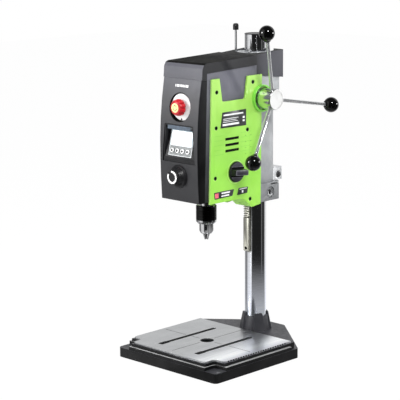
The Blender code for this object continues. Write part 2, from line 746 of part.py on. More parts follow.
def make_front_cover(material):
    cover = make_object("front_cover", cover_solid(HEAD_BOTTOM, SEAM_HEIGHT, 0, 0), material)
    outside = HEAD_REACH + OVERRUN
    stop_axis = (0, 0, stop_height)
    # The cavity leaves the cup of the stop switch and the collar of the display standing.
    cavity = make_object("front_cover_cavity_form", cover_solid(HEAD_BOTTOM + cover_floor, SEAM_HEIGHT + OVERRUN,
                                                                cover_wall, OVERRUN))
    cut(cavity, "cup", aimed(cylinder(stop_cup_radius, -stop_cup_rear(), outside, ROUND_SEGMENTS),
                             FORWARD, stop_axis))
    cut(cavity, "collar", front_prism(display_outline(cover_wall - SEAT_GAP), -outside, display_rear - OVERRUN))
    cut(cover, "cavity", cavity)
    join(cover, "floor", box((-case_half_width, return_foot - OVERRUN, HEAD_BOTTOM),
                             (case_half_width, guide_front, HEAD_BOTTOM + cover_floor)))
    cut(cover, "spindle_hole", moved(cylinder(cover_floor_hole, HEAD_BOTTOM - OVERRUN,
                                              HEAD_BOTTOM + cover_floor + OVERRUN, ROUND_SEGMENTS),
                                     0, SPINDLE_Y, 0))
    for index, (x, z) in enumerate(board_post_places()):
        post = cylinder(board_post_radius, -board_front() + SEAT_GAP, -front_face(z) - cover_wall / 2, SCREW_SEGMENTS)
        join(cover, "board_post_%d" % (index + 1), aimed(post, FORWARD, (x, 0, z)))
    cut(cover, "stop_recess", aimed(cylinder(stop_plate_radius + RUNNING_GAP, -stop_seat, outside, ROUND_SEGMENTS),
                                    FORWARD, stop_axis))
    cut(cover, "stop_bore", aimed(cylinder(stop_block_radius, -stop_block_rear, outside, FINE_SEGMENTS),
                                  FORWARD, stop_axis))
    cut(cover, "display_opening", front_prism(display_outline(0), -outside, display_rear + OVERRUN))
    cut(cover, "knob_bore", aimed(cylinder(speed_shaft_radius + RUNNING_GAP, -board_front(), outside,
                                           SCREW_SEGMENTS), FORWARD, (0, 0, speed_height)))


# Top cover: dark shell over the head, narrower round the column
top_wall = 0.0025
top_brow_height = 0.612
top_brow_setback = 0.002
top_bevel_y = -0.209
top_bevel_height = 0.619
top_nose_y = -0.202
top_nose_height = 0.622
top_shoulder_y = -0.054
top_shoulder_height = 0.627
top_tail_y = 0.034
top_tail_height = 0.6328
top_tail_half_width = 0.0465
side_top_front = 0.602
side_top_rear = 0.6074
tail_front_bottom = 0.587
tail_rear_bottom = 0.575
column_opening_radius = 0.0395


def top_profile(inset, bottom):
    """Front and top of the wide part, in (y, z), from its seam back to its shoulder."""
    front = front_face(SEAM_HEIGHT) + inset
    return [(front, bottom), (front + top_brow_setback, top_brow_height), (top_bevel_y + inset, top_bevel_height - inset),
            (top_nose_y, top_nose_height - inset), (top_shoulder_y - inset, top_shoulder_height - inset)]


def tail_profile(front, inset, drop):
    """The part round the column, in (y, z), from the shoulder to the rear."""
    return [(front, top_shoulder_height - inset - SEAT_GAP), (top_tail_y - inset, top_tail_height - inset),
            (top_tail_y - inset, tail_rear_bottom - drop), (front, tail_front_bottom - drop)]


def make_top_cover(material):
    bottom = SEAM_HEIGHT + SEAT_GAP
    leg_rear = return_edge(SEAM_HEIGHT)
    outline = top_profile(0, bottom) + [(top_shoulder_y, side_top_rear), (leg_rear, side_top_front),
                                        (leg_rear, bottom)]
    cover = make_object("top_cover", side_prism(outline, -HEAD_HALF_WIDTH, HEAD_HALF_WIDTH), material)
    tail_front = top_shoulder_y - top_wall
    join(cover, "tail", side_prism(tail_profile(tail_front, 0, 0), -top_tail_half_width, top_tail_half_width))
    inside = top_profile(top_wall, bottom - OVERRUN)
    inside += [(tail_front, tail_front_bottom - OVERRUN), (inside[0][0], tail_front_bottom - OVERRUN)]
    inner = HEAD_HALF_WIDTH - top_wall
    cut(cover, "inside", side_prism(inside, -inner, inner))
    tail_inner = top_tail_half_width - top_wall
    cut(cover, "tail_inside", side_prism(tail_profile(tail_front - OVERRUN, top_wall, OVERRUN),
                                         -tail_inner, tail_inner))
    top = top_tail_height + OVERRUN
    cut(cover, "column_opening", cylinder(column_opening_radius, GUIDE_TOP - RUNNING_GAP, top, FINE_SEGMENTS))
    rod_hole = cylinder(rod_radius + RUNNING_GAP, GUIDE_TOP, top, SCREW_SEGMENTS)
    cut(cover, "rod_hole", moved(rod_hole, rod_x, rod_y, 0))


# Side frames: grey plates between the casting and the green side plates
frame_thickness = 0.0025
frame_rear = -0.055


def frame_inner():
    return case_half_width + SEAT_GAP


def make_side_frame(side, material):
    bottom = HEAD_BOTTOM + SEAT_GAP
    top = side_top_front - SEAT_GAP
    outline = [(return_edge(bottom) + SEAT_GAP, bottom), (return_edge(top) + SEAT_GAP, top),
               (frame_rear, side_top_rear - SEAT_GAP), (frame_rear, bottom)]
    low = frame_inner()
    high = low + frame_thickness
    frame = make_object(side_name(side) + "_side_frame", side_prism(outline, side * low, side * high), material)
    hole = cylinder(shaft_hole_radius, low - OVERRUN, high + OVERRUN, ROUND_SEGMENTS)
    cut(frame, "shaft_hole", aimed(hole, side * RIGHT, (0, PINION_Y, PINION_HEIGHT)))
    for index, (y, z) in enumerate(plate_screw_places(side)[1:]):
        bore = cylinder(plate_screw_radius + SEAT_GAP, low - OVERRUN, high + OVERRUN, SCREW_SEGMENTS)
        cut(frame, "screw_bore_%d" % (index + 1), aimed(bore, side * RIGHT, (0, y, z)))


# Green side plates with a notch in the top, a boss ring and a lip that wraps under the head.
# The screws go in from the right; all but the one beside the motor reach the left plate.
plate_thickness = 0.0037
plate_front_top = -0.190
plate_front_bottom = -0.1974
plate_top = 0.5895
plate_rear_tab_top = 0.588
plate_rear_top = -0.043
plate_rear_bottom = -0.047
plate_overhang = 0.004
arch_drop = 0.0015
arch_front = -0.133
arch_rear = -0.0985
toe_y = -0.074
toe_drop = 0.0225
heel_drop = 0.0195
notch_front = -0.168
notch_rear = -0.0864
notch_bottom = 0.5424
notch_lean = 0.0075
notch_fillet = 0.004
boss_ring_outer = 0.028
boss_ring_inner = 0.0245
boss_ring_height = 0.006
lip_thickness = 0.003
lip_inner = 0.012
shaft_hole_radius = 0.020
plate_screw_radius = 0.0018
plate_screw_head_radius = 0.0034
plate_screw_head_length = 0.0022
front_screw_margin = 0.0142
front_screw_shares = (0.894, 0.608, 0.204)
rear_screw_shares = (0.188, 0.94)
motor_screw_shares = (0.299, 0.559)
toe_screw_shares = (0.246, -0.018)
vent_front = -0.1517
vent_rear = -0.1134
vent_height = 0.0043
vent_rows = 3
vent_spacing = 0.012
vent_top = 0.466


def plate_bottom(drop=0):
    """Height of the plate's lower edge, or of a point that far below it; the edge hangs under the head."""
    return HEAD_BOTTOM - plate_overhang - drop


def plate_inner():
    return frame_inner() + frame_thickness + SEAT_GAP


def plate_outer():
    return plate_inner() + plate_thickness


def plate_place(share_y, share_z):
    """Place on the side plate: share of its length from the rear and of its height."""
    return (plate_rear_top + share_y * (plate_front_top - plate_rear_top),
            plate_bottom() + share_z * (plate_top - plate_bottom()))


def plate_screw_places(side):
    """Screws beside the toe, along the front edge, at the rear and, on the right only, beside the motor."""
    places = [plate_place(*toe_screw_shares)]
    for share in front_screw_shares:
        edge = plate_front_bottom + share * (plate_front_top - plate_front_bottom)
        places.append((edge + front_screw_margin, plate_bottom() + share * (plate_top - plate_bottom())))
    places.append(plate_place(*rear_screw_shares))
    if side > 0:
        places.append(plate_place(*motor_screw_shares))
    return places


def plate_outline():
    return rounded([(plate_front_top, plate_top, 0), (plate_front_bottom, plate_bottom(), 0),
                    (arch_front, plate_bottom(), 0), (arch_rear, plate_bottom(arch_drop), 0),
                    (toe_y, plate_bottom(toe_drop), 0), (plate_rear_bottom, plate_bottom(heel_drop), 0),
                    (plate_rear_top, plate_rear_tab_top, 0), (notch_rear, plate_rear_tab_top, 0),
                    (notch_rear - notch_lean, notch_bottom, notch_fillet),
                    (notch_front + notch_lean, notch_bottom, notch_fillet), (notch_front, plate_top, 0)])


def lip_outline():
    """The lip that wraps under the head behind the arch."""
    toe_height = plate_bottom(toe_drop)
    heel_height = plate_bottom(heel_drop)
    return [(arch_rear, plate_bottom(arch_drop)), (toe_y, toe_height), (plate_rear_bottom, heel_height),
            (plate_rear_bottom, heel_height + lip_thickness), (toe_y + lip_thickness / 2, toe_height + lip_thickness),
            (arch_rear + 2 * lip_thickness, plate_bottom(arch_drop))]


def make_side_plate(side, material):
    low = plate_inner()
    high = plate_outer()
    pinion_axis = (0, PINION_Y, PINION_HEIGHT)
    plate = make_object(side_name(side) + "_side_plate",
                        side_prism(plate_outline(), side * low, side * high), material)
    join(plate, "lip", side_prism(lip_outline(), side * lip_inner, side * (low + plate_thickness / 2)))
    y, z = plate_screw_places(side)[0]
    boss = cylinder(plate_screw_head_radius, low - plate_thickness, low + plate_thickness / 2, SCREW_SEGMENTS)
    join(plate, "toe_boss", aimed(boss, side * RIGHT, (0, y, z)))
    if side > 0:
        ring = cylinder(boss_ring_outer, low + plate_thickness / 2, high + boss_ring_height, FINE_SEGMENTS)
        join(plate, "boss_ring", aimed(ring, RIGHT, pinion_axis))
        groove = cylinder(boss_ring_inner, high, high + boss_ring_height + OVERRUN, ROUND_SEGMENTS)
        cut(plate, "ring_groove", aimed(groove, RIGHT, pinion_axis))
        selector = cylinder(selector_shaft_radius + RUNNING_GAP, low - OVERRUN, high + OVERRUN, SMALL_SEGMENTS)
        cut(plate, "selector_hole", aimed(selector, RIGHT, (0, selector_y, selector_height)))
    shaft = cylinder(shaft_hole_radius, low - OVERRUN, high + OVERRUN, ROUND_SEGMENTS)
    cut(plate, "shaft_hole", aimed(shaft, side * RIGHT, pinion_axis))
    for row in range(vent_rows):
        middle = vent_top - row * vent_spacing
        vent = [(vent_front, middle - vent_height / 2), (vent_rear, middle - vent_height / 2),
                (vent_rear, middle + vent_height / 2), (vent_front, middle + vent_height / 2)]
        cut(plate, "vent_%d" % (row + 1), side_prism(vent, side * (low - OVERRUN), side * (high + OVERRUN)))
    for index, (y, z) in enumerate(plate_screw_places(side)):
        shank = cylinder(plate_screw_radius + SEAT_GAP, low - 2 * plate_thickness, high + OVERRUN, SCREW_SEGMENTS)
        cut(plate, "screw_bore_%d" % (index + 1), aimed(shank, side * RIGHT, (0, y, z)))
        if side > 0:
            head = cylinder(plate_screw_head_radius + SEAT_GAP, high - plate_screw_head_length - SEAT_GAP,
                            high + OVERRUN, SCREW_SEGMENTS)
            cut(plate, "counterbore_%d" % (index + 1), aimed(head, RIGHT, (0, y, z)))


def make_plate_screws(material):
    seat = plate_outer() - plate_screw_head_length
    tied = plate_screw_places(-1)
    for index, (y, z) in enumerate(plate_screw_places(1)):
        tip = -plate_outer() + RUNNING_GAP if (y, z) in tied else frame_inner()
        screw = socket_screw(plate_screw_head_radius, plate_screw_head_length, plate_screw_radius, seat - tip)
        make_object("plate_screw_%d" % (index + 1), aimed(screw, RIGHT, (plate_outer(), y, z)), material)


# Pinion shaft across the head, put in from the left and held by a bush there
bush_radius = 0.0179
bush_start = 0.009
shaft_radius = 0.008
pinion_half_width = 0.0085
collar_radius = 0.012
hub_start = 0.0615
hub_end = 0.0980
hub_radius = 0.0213
hub_cap_radius = 0.0208
hub_cap_thickness = 0.0013
spring_shaft_radius = 0.006


def make_pinion_bush(material):
    bush = tube(shaft_radius + SEAT_GAP, bush_radius, bush_start, case_half_width, ROUND_SEGMENTS)
    make_object("pinion_bush", aimed(bush, -RIGHT, (0, PINION_Y, PINION_HEIGHT)), material)


def make_pinion_shaft(material, pivot):
    inner = frame_inner()
    collar_end = hub_start - SEAT_GAP
    profile = [(0, -spring_house_end), (spring_shaft_radius, -spring_house_end), (spring_shaft_radius, -inner),
               (shaft_radius, -inner), (shaft_radius, inner), (collar_radius, inner), (collar_radius, collar_end),
               (shaft_radius, collar_end),
               (shaft_radius, hub_end - hub_cap_thickness), (0, hub_end - hub_cap_thickness)]
    axis = (0, PINION_Y, PINION_HEIGHT)
    shaft = make_object("pinion_shaft", aimed(lathe(profile, SMALL_SEGMENTS), RIGHT, axis), material, pivot)
    gear = prism(gear_outline(PINION_TEETH, RACK_MODULE), -pinion_half_width, pinion_half_width)
    join(shaft, "gear", aimed(gear, RIGHT, axis))


# Feed handle: capped hub, three levers on a shallow cone and their ball knobs
lever_count = 3
lever_radius = 0.004
lever_cone_degrees = 12.3
lever_root_x = 0.0875
lever_start = 0.0104
lever_first_degrees = -8.88
ball_reach = 0.1488
ball_radius = 0.0161
ball_collar_radius = 0.0062
ball_collar_length = 0.0015
ball_profile_steps = 7


def lever_direction(index):
    angle = math.radians(lever_first_degrees) + 2 * math.pi * index / lever_count
    cone = math.radians(lever_cone_degrees)
    return Vector((math.sin(cone), math.cos(cone) * math.cos(angle), math.cos(cone) * math.sin(angle)))


def lever_root():
    return Vector((lever_root_x, PINION_Y, PINION_HEIGHT))


def lever_length():
    return ball_reach / math.cos(math.radians(lever_cone_degrees))


def make_lever_hub(material, pivot):
    bore = shaft_radius + SEAT_GAP
    bore_end = hub_end - hub_cap_thickness + SEAT_GAP
    edge = hub_cap_thickness / 2
    cap_top = hub_end + hub_cap_thickness
    profile = [(0, bore_end), (bore, bore_end), (bore, hub_start), (hub_radius - edge, hub_start),
               (hub_radius, hub_start + edge), (hub_radius, hub_end - edge), (hub_cap_radius - edge, hub_end - edge),
               (hub_cap_radius - edge, hub_end), (hub_cap_radius, hub_end), (hub_cap_radius, hub_end + edge),
               (hub_cap_radius - edge, cap_top), (0, cap_top)]
    hub = make_object("lever_hub", aimed(lathe(profile, FINE_SEGMENTS), RIGHT, (0, PINION_Y, PINION_HEIGHT)),
                      material, pivot)
    for index in range(lever_count):
        socket = cylinder(lever_radius + SEAT_GAP, shaft_radius, hub_radius + 2 * OVERRUN, SMALL_SEGMENTS)
        cut(hub, "lever_socket_%d" % (index + 1), aimed(socket, lever_direction(index), lever_root()))


def make_lever(index, material, pivot):
    rod = cylinder(lever_radius, lever_start, lever_length(), SMALL_SEGMENTS)
    make_object("lever_%d" % (index + 1), aimed(rod, lever_direction(index), lever_root()), material, pivot)


def make_lever_ball(index, material, pivot):
    """Ball knob with a small collar, bored for its lever up to its middle."""
    middle = lever_length()
    bore = lever_radius + SEAT_GAP
    last_angle = math.pi - math.asin(ball_collar_radius / ball_radius)
    profile = []
    for step in range(ball_profile_steps + 1):
        angle = last_angle * step / ball_profile_steps
        profile.append((ball_radius * math.sin(angle), middle + ball_radius * math.cos(angle)))
    foot = middle - ball_radius - ball_collar_length
    profile += [(ball_collar_radius, foot), (bore, foot), (bore, middle + SEAT_GAP), (0, middle + SEAT_GAP)]
    ball = lathe(profile, ROUND_SEGMENTS)
    make_object("lever_ball_%d" % (index + 1), aimed(ball, lever_direction(index), lever_root()), material, pivot)


# Return spring and its housing on the left end of the pinion shaft
spring_house_radius = 0.030
spring_house_end = 0.074
spring_house_wall = 0.0025
spring_turns = 4
spring_steps_per_turn = 14
spring_inner = 0.008
spring_thickness = 0.0008
spring_width = 0.009


def make_spring_housing(material):
    inner = spring_house_radius - spring_house_wall
    floor = spring_house_end - spring_house_wall
    start = plate_outer() + SEAT_GAP
    hole = spring_shaft_radius + RUNNING_GAP
    profile = [(inner, start), (spring_house_radius, start), (spring_house_radius, floor),
               (inner, spring_house_end), (hole, spring_house_end), (hole, floor), (inner, floor)]
    make_object("spring_housing", aimed(lathe(profile, FINE_SEGMENTS), -RIGHT, (0, PINION_Y, PINION_HEIGHT)),
                material)


def make_return_spring(material):
    """Flat spiral between the shaft and the housing's rim, as one unbroken band."""
    outer = spring_house_radius - spring_house_wall - SEAT_GAP - spring_thickness
    high = spring_house_end - spring_house_wall - SEAT_GAP
    low = high - spring_width
    count = spring_turns * spring_steps_per_turn
    bm = bmesh.new()
    rings = []
    for step in range(count + 1):
        angle = 2 * math.pi * step / spring_steps_per_turn
        radius = spring_inner + (outer - spring_inner) * step / count
        corners = ((radius, low), (radius + spring_thickness, low), (radius + spring_thickness, high), (radius, high))
        rings.append([bm.verts.new((reach * math.cos(angle), reach * math.sin(angle), height))
                      for reach, height in corners])
    bm.faces.new(rings[0])
    bm.faces.new(rings[-1])
    bridge_rings(bm, rings)
    least_gap = (outer - spring_inner) / spring_turns - spring_thickness
    print("return spring: least gap between turns %.5f" % least_gap)
    make_object("return_spring", aimed(bm, -RIGHT, (0, PINION_Y, PINION_HEIGHT)), material)


# Spindle, its gear and its bearings
nose_radius = 0.0075
nose_bottom = 0.313
spindle_collar_radius = 0.013
spindle_collar_bottom = 0.334
spindle_collar_top = 0.340
journal_radius = 0.0085
lower_bearing_inner = journal_radius + SEAT_GAP
lower_bearing_outer = 0.020
lower_bearing_bottom = 0.349
lower_bearing_width = 0.012
gear_seat_radius = 0.008
spindle_gear_teeth = 40
motor_gear_teeth = 8
gear_module = 0.0016
gear_bottom = 0.366
gear_width = 0.010
upper_journal_radius = 0.006
upper_bearing_outer = 0.016
upper_bearing_bottom = 0.382
upper_bearing_width = 0.010


def motor_y():
    return SPINDLE_Y + gear_module * (spindle_gear_teeth + motor_gear_teeth) / 2


def make_spindle_shaft(material, pivot):
    journal_top = lower_bearing_bottom + lower_bearing_width + SEAT_GAP
    gear_top = gear_bottom + gear_width
    top = upper_bearing_bottom + upper_bearing_width
    profile = [(0, nose_bottom), (nose_radius, nose_bottom), (nose_radius, spindle_collar_bottom),
               (spindle_collar_radius, spindle_collar_bottom), (spindle_collar_radius, spindle_collar_top),
               (journal_radius, spindle_collar_top), (journal_radius, journal_top),
               (gear_seat_radius, journal_top), (gear_seat_radius, gear_top),
               (upper_journal_radius, gear_top), (upper_journal_radius, top), (0, top)]
    make_object("spindle_shaft", moved(lathe(profile, SMALL_SEGMENTS), 0, SPINDLE_Y, 0), material, pivot)


def make_spindle_gear(material, pivot):
    gear = prism(gear_outline(spindle_gear_teeth, gear_module), gear_bottom, gear_bottom + gear_width)
    item = make_object("spindle_gear", moved(gear, 0, SPINDLE_Y, 0), material, pivot)
    bore = cylinder(gear_seat_radius + SEAT_GAP, gear_bottom - OVERRUN, gear_bottom + gear_width + OVERRUN,
                    ROUND_SEGMENTS)
    cut(item, "bore", moved(bore, 0, SPINDLE_Y, 0))


def make_bearing(name, inner, outer, bottom, width, material):
    bearing = tube(inner, outer, bottom, bottom + width, ROUND_SEGMENTS)
    make_object(name, moved(bearing, 0, SPINDLE_Y, 0), material)


# Keyed drill chuck: body with slanted jaw bores, toothed sleeve and three jaws
chuck_body_radius = 0.019
chuck_nose_radius = 0.0147
chuck_nose_bottom = 0.2712
chuck_tip_bottom = 0.2657
chuck_tip_radius = 0.0115
chuck_sleeve_bottom = 0.2867
chuck_bevel_height = 0.0041
chuck_sleeve_top = 0.324
chuck_neck_radius = 0.0125
chuck_bore_radius = 0.005
chuck_bore_depth = 0.024
sleeve_edge = 0.0008
sleeve_teeth = 24
sleeve_mouth_radius = 0.0151
sleeve_rim_radius = 0.0178
sleeve_tooth_depth = 0.0012
key_hole_radius = 0.0028
key_hole_depth = 0.0056
key_hole_height = 0.279
key_hole_first_degrees = -50
jaw_count = 3
jaw_radius = 0.0035
jaw_slant_degrees = 13
jaw_tip_height = 0.253
jaw_tip_offset = 0.0034
jaw_length = 0.028
jaw_clearance = 0.00035
jaw_travel = 0.022
jaw_flank_gap = 0.00015


def jaw_angle(index):
    return math.radians(key_hole_first_degrees) + 2 * math.pi * (index + 1 / 2) / jaw_count


def jaw_direction(index):
    slant = math.radians(jaw_slant_degrees)
    angle = jaw_angle(index)
    return Vector((math.sin(slant) * math.cos(angle), math.sin(slant) * math.sin(angle), math.cos(slant)))


def jaw_tip(index):
    angle = jaw_angle(index)
    return Vector((jaw_tip_offset * math.cos(angle), SPINDLE_Y + jaw_tip_offset * math.sin(angle), jaw_tip_height))


def sleeve_bore_radius():
    return chuck_body_radius + SEAT_GAP


def sleeve_shoulder():
    """Height at which the sleeve's slanted inner end reaches its bore."""
    return chuck_sleeve_bottom + sleeve_bore_radius() - sleeve_mouth_radius


def make_chuck_body(material, pivot):
    top = spindle_collar_bottom - SEAT_GAP
    profile = [(0, chuck_tip_bottom), (chuck_tip_radius, chuck_tip_bottom), (chuck_nose_radius, chuck_nose_bottom),
               (chuck_nose_radius, chuck_sleeve_bottom + SEAT_GAP),
               (chuck_body_radius, sleeve_shoulder() + 2 * SEAT_GAP),
               (chuck_body_radius, chuck_sleeve_top - SEAT_GAP), (chuck_neck_radius, chuck_sleeve_top),
               (chuck_neck_radius, top), (0, top)]
    body = make_object("chuck_body", moved(lathe(profile, FINE_SEGMENTS), 0, SPINDLE_Y, 0), material, pivot)
    cut(body, "nose_bore", moved(cylinder(nose_radius + SEAT_GAP, nose_bottom - SEAT_GAP, top + OVERRUN,
                                          ROUND_SEGMENTS), 0, SPINDLE_Y, 0))
    cut(body, "work_bore", moved(cylinder(chuck_bore_radius, chuck_tip_bottom - OVERRUN,
                                          chuck_tip_bottom + chuck_bore_depth, SMALL_SEGMENTS), 0, SPINDLE_Y, 0))
    for index in range(jaw_count):
        bore = cylinder(jaw_radius + jaw_clearance, 0, jaw_length + jaw_travel + SEAT_GAP, SMALL_SEGMENTS)
        cut(body, "jaw_bore_%d" % (index + 1), aimed(bore, jaw_direction(index), jaw_tip(index)))
        angle = math.radians(key_hole_first_degrees) + 2 * math.pi * index / jaw_count
        hole = cylinder(key_hole_radius, chuck_nose_radius - key_hole_depth, chuck_body_radius, SCREW_SEGMENTS)
        direction = (math.cos(angle), math.sin(angle), 0)
        cut(body, "key_hole_%d" % (index + 1), aimed(hole, direction, (0, SPINDLE_Y, key_hole_height)))


def sleeve_ring(radius, tooth_depth):
    """Outline of the sleeve; with a tooth depth, every second pair of points lies lower."""
    outline = []
    for step in range(4 * sleeve_teeth):
        angle = 2 * math.pi * step / (4 * sleeve_teeth)
        reach = radius if step % 4 < 2 else radius - tooth_depth
        outline.append((reach * math.cos(angle), reach * math.sin(angle)))
    return outline


def make_chuck_sleeve(material, pivot):
    bevel_top = chuck_sleeve_bottom + chuck_bevel_height
    outlines = [sleeve_ring(sleeve_rim_radius, sleeve_tooth_depth), sleeve_ring(CHUCK_RADIUS, sleeve_tooth_depth),
                sleeve_ring(CHUCK_RADIUS, 0), sleeve_ring(CHUCK_RADIUS, 0), sleeve_ring(CHUCK_RADIUS - sleeve_edge, 0)]
    heights = [chuck_sleeve_bottom, bevel_top, bevel_top + sleeve_tooth_depth / 2,
               chuck_sleeve_top - sleeve_edge, chuck_sleeve_top]
    sleeve = make_object("chuck_sleeve", moved(stack(outlines, heights), 0, SPINDLE_Y, 0), material, pivot)
    wall = sleeve_bore_radius()
    bore = lathe([(0, chuck_sleeve_bottom - OVERRUN), (sleeve_mouth_radius, chuck_sleeve_bottom - OVERRUN),
                  (sleeve_mouth_radius, chuck_sleeve_bottom), (wall, sleeve_shoulder()),
                  (wall, chuck_sleeve_top + OVERRUN), (0, chuck_sleeve_top + OVERRUN)], FINE_SEGMENTS)
    cut(sleeve, "bore", moved(bore, 0, SPINDLE_Y, 0))


def make_chuck_jaw(index, material, pivot):
    """Round slanted jaw, trimmed to its third of the circle so that the three meet."""
    jaw = aimed(cylinder(jaw_radius, 0, jaw_length, SMALL_SEGMENTS), jaw_direction(index), jaw_tip(index))
    for side in (-1, 1):
        angle = jaw_angle(index) + side * math.pi / jaw_count
        normal = Vector((-math.sin(angle), math.cos(angle), 0)) * side
        position = Vector((0, SPINDLE_Y, 0)) - normal * jaw_flank_gap
        bmesh.ops.bisect_plane(jaw, geom=jaw.verts[:] + jaw.edges[:] + jaw.faces[:], plane_co=position,
                               plane_no=normal, clear_outer=True)
        open_edges = [edge for edge in jaw.edges if edge.is_boundary]
        bmesh.ops.holes_fill(jaw, edges=open_edges, sides=0)
    make_object("chuck_jaw_%d" % (index + 1), jaw, material, pivot)


# Motor: housing on the gearcase lid, rotor with its pinion and fan
motor_radius = 0.040
motor_wall = 0.004
motor_bottom = 0.396
motor_top = 0.530
motor_neck_radius = 0.016
rotor_radius = 0.024
rotor_shaft_radius = 0.004
rotor_end_gap = 0.008
fan_radius = 0.031
fan_thickness = 0.005


def make_motor_housing(material):
    neck_bottom = lid_top() + SEAT_GAP
    profile = [(0, neck_bottom), (motor_neck_radius, neck_bottom), (motor_neck_radius, motor_bottom),
               (motor_radius - motor_wall, motor_bottom), (motor_radius, motor_bottom + motor_wall),
               (motor_radius, motor_top - motor_wall), (motor_radius - motor_wall, motor_top), (0, motor_top)]
    housing = make_object("motor_housing", moved(lathe(profile, ROUND_SEGMENTS), 0, motor_y(), 0), material)
    cavity = cylinder(motor_radius - motor_wall, motor_bottom + motor_wall, motor_top - motor_wall, ROUND_SEGMENTS)
    cut(housing, "cavity", moved(cavity, 0, motor_y(), 0))
    bore = cylinder(rotor_shaft_radius + SEAT_GAP, neck_bottom - OVERRUN, motor_top + OVERRUN, SMALL_SEGMENTS)
    cut(housing, "shaft_bore", moved(bore, 0, motor_y(), 0))


def make_motor_rotor(material, pivot):
    foot = gear_bottom - RUNNING_GAP
    core_bottom = motor_bottom + motor_wall + rotor_end_gap
    core_top = motor_top - motor_wall - 2 * rotor_end_gap
    fan_bottom = core_top + rotor_end_gap / 2
    fan_top = fan_bottom + fan_thickness
    profile = [(0, foot), (rotor_shaft_radius, foot), (rotor_shaft_radius, core_bottom), (rotor_radius, core_bottom),
               (rotor_radius, core_top), (rotor_shaft_radius, core_top), (rotor_shaft_radius, fan_bottom),
               (fan_radius, fan_bottom), (fan_radius, fan_top), (rotor_shaft_radius, fan_top),
               (rotor_shaft_radius, motor_top), (0, motor_top)]
    rotor = make_object("motor_rotor", moved(lathe(profile, SMALL_SEGMENTS), 0, motor_y(), 0), material, pivot)
    # Half a pitch of turn lets a tooth face the gap of the spindle gear.
    teeth = gear_outline(motor_gear_teeth, gear_module, math.pi / motor_gear_teeth)
    join(rotor, "gear", moved(prism(teeth, gear_bottom, gear_bottom + gear_width), 0, motor_y(), 0))


# Circuit board behind the front cover, with the speed control's bushing
board_half_width = 0.042
board_bottom = 0.402
board_top = 0.511
board_rear = -0.1905
board_thickness = 0.0016
board_post_margin = 0.005
board_part_depth = 0.008
control_depth = 0.012
board_part_half_width = 0.010
board_part_drop = 0.030
speed_control_radius = 0.008


def board_front():
    return board_rear - board_thickness


def board_post_places():
    x = board_half_width - board_post_margin
    return [(side * x, z) for side in (-1, 1)
            for z in (board_bottom + board_post_margin, board_top - board_post_margin)]


def make_circuit_board(material):
    board = make_object("circuit_board", box((-board_half_width, board_front(), board_bottom),
                                             (board_half_width, board_rear, board_top)), material)
    middle = -board_rear + board_thickness / 2
    control_front = -board_front() + control_depth
    axis = (0, 0, speed_height)
    join(board, "speed_control", aimed(cylinder(speed_control_radius, middle, control_front, SMALL_SEGMENTS),
                                       FORWARD, axis))
    cut(board, "speed_bore", aimed(cylinder(speed_shaft_radius + RUNNING_GAP, -board_front() + board_thickness,
                                            control_front + OVERRUN, SCREW_SEGMENTS), FORWARD, axis))
    for side in (-1, 1):
        x = side * board_half_width / 2
        join(board, "power_part_" + side_name(side),
             box((x - board_part_half_width, -middle, board_top - board_part_drop),
                 (x + board_part_half_width, board_rear + board_part_depth, board_top - board_part_drop / 2)))


# Display pocket in the front cover: housing, screen and four buttons on a leaning floor
display_top = 0.4985
display_bottom = 0.4215
display_top_half_width = 0.040
display_bottom_half_width = 0.0455
display_corner_radius = 0.001
display_front = -0.2263
display_rear = -0.209
pocket_bottom = 0.431
pocket_ceiling = 0.487
pocket_floor_front = -0.2253
pocket_floor_rear = -0.213
pocket_wall = 0.003
screen_low = 0.455
screen_high = 0.484
screen_half_width = 0.0286
screen_thickness = 0.0012
button_row = 0.4445
button_spacing = 0.0145
button_radius = 0.0045
button_height = 0.0022
button_stand = 0.0015
button_count = 4
button_stem_radius = 0.003
button_hole_depth = 0.0023
button_stem_depth = 0.0008


def display_outline(outset):
    return rounded(mirrored([(display_bottom_half_width + outset, display_bottom - outset, display_corner_radius),
                             (display_top_half_width + outset, display_top + outset, display_corner_radius)]))


def pocket_floor_y(height):
    share = (height - pocket_bottom) / (pocket_ceiling - pocket_bottom)
    return pocket_floor_front + (pocket_floor_rear - pocket_floor_front) * share


def floor_normal():
    """Direction out of the pocket's leaning floor."""
    lean = math.atan2(pocket_floor_rear - pocket_floor_front, pocket_ceiling - pocket_bottom)
    return Vector((0, -math.cos(lean), math.sin(lean)))


def button_place(index):
    x = button_spacing * (index - (button_count - 1) / 2)
    return Vector((x, pocket_floor_y(button_row), button_row))


def make_display_housing(material):
    housing = make_object("display_housing", front_prism(display_outline(-SEAT_GAP), display_front, display_rear),
                          material)
    pocket = make_object("display_pocket_form", front_prism(display_outline(-pocket_wall),
                                                            display_front - OVERRUN, display_rear + OVERRUN))
    outside = display_front - 2 * OVERRUN
    lintel = display_top - pocket_wall
    space = [(pocket_floor_front, pocket_bottom), (pocket_floor_rear, pocket_ceiling),
             (display_front - SEAT_GAP, lintel), (outside, lintel), (outside, pocket_bottom)]
    add_boolean(pocket, "space", side_prism(space, -2 * display_bottom_half_width, 2 * display_bottom_half_width),
                'INTERSECT')
    cut(housing, "pocket", pocket)
    for index in range(button_count):
        hole = cylinder(button_stem_radius + SEAT_GAP, -button_hole_depth, OVERRUN, SCREW_SEGMENTS)
        cut(housing, "button_hole_%d" % (index + 1), aimed(hole, floor_normal(), button_place(index)))


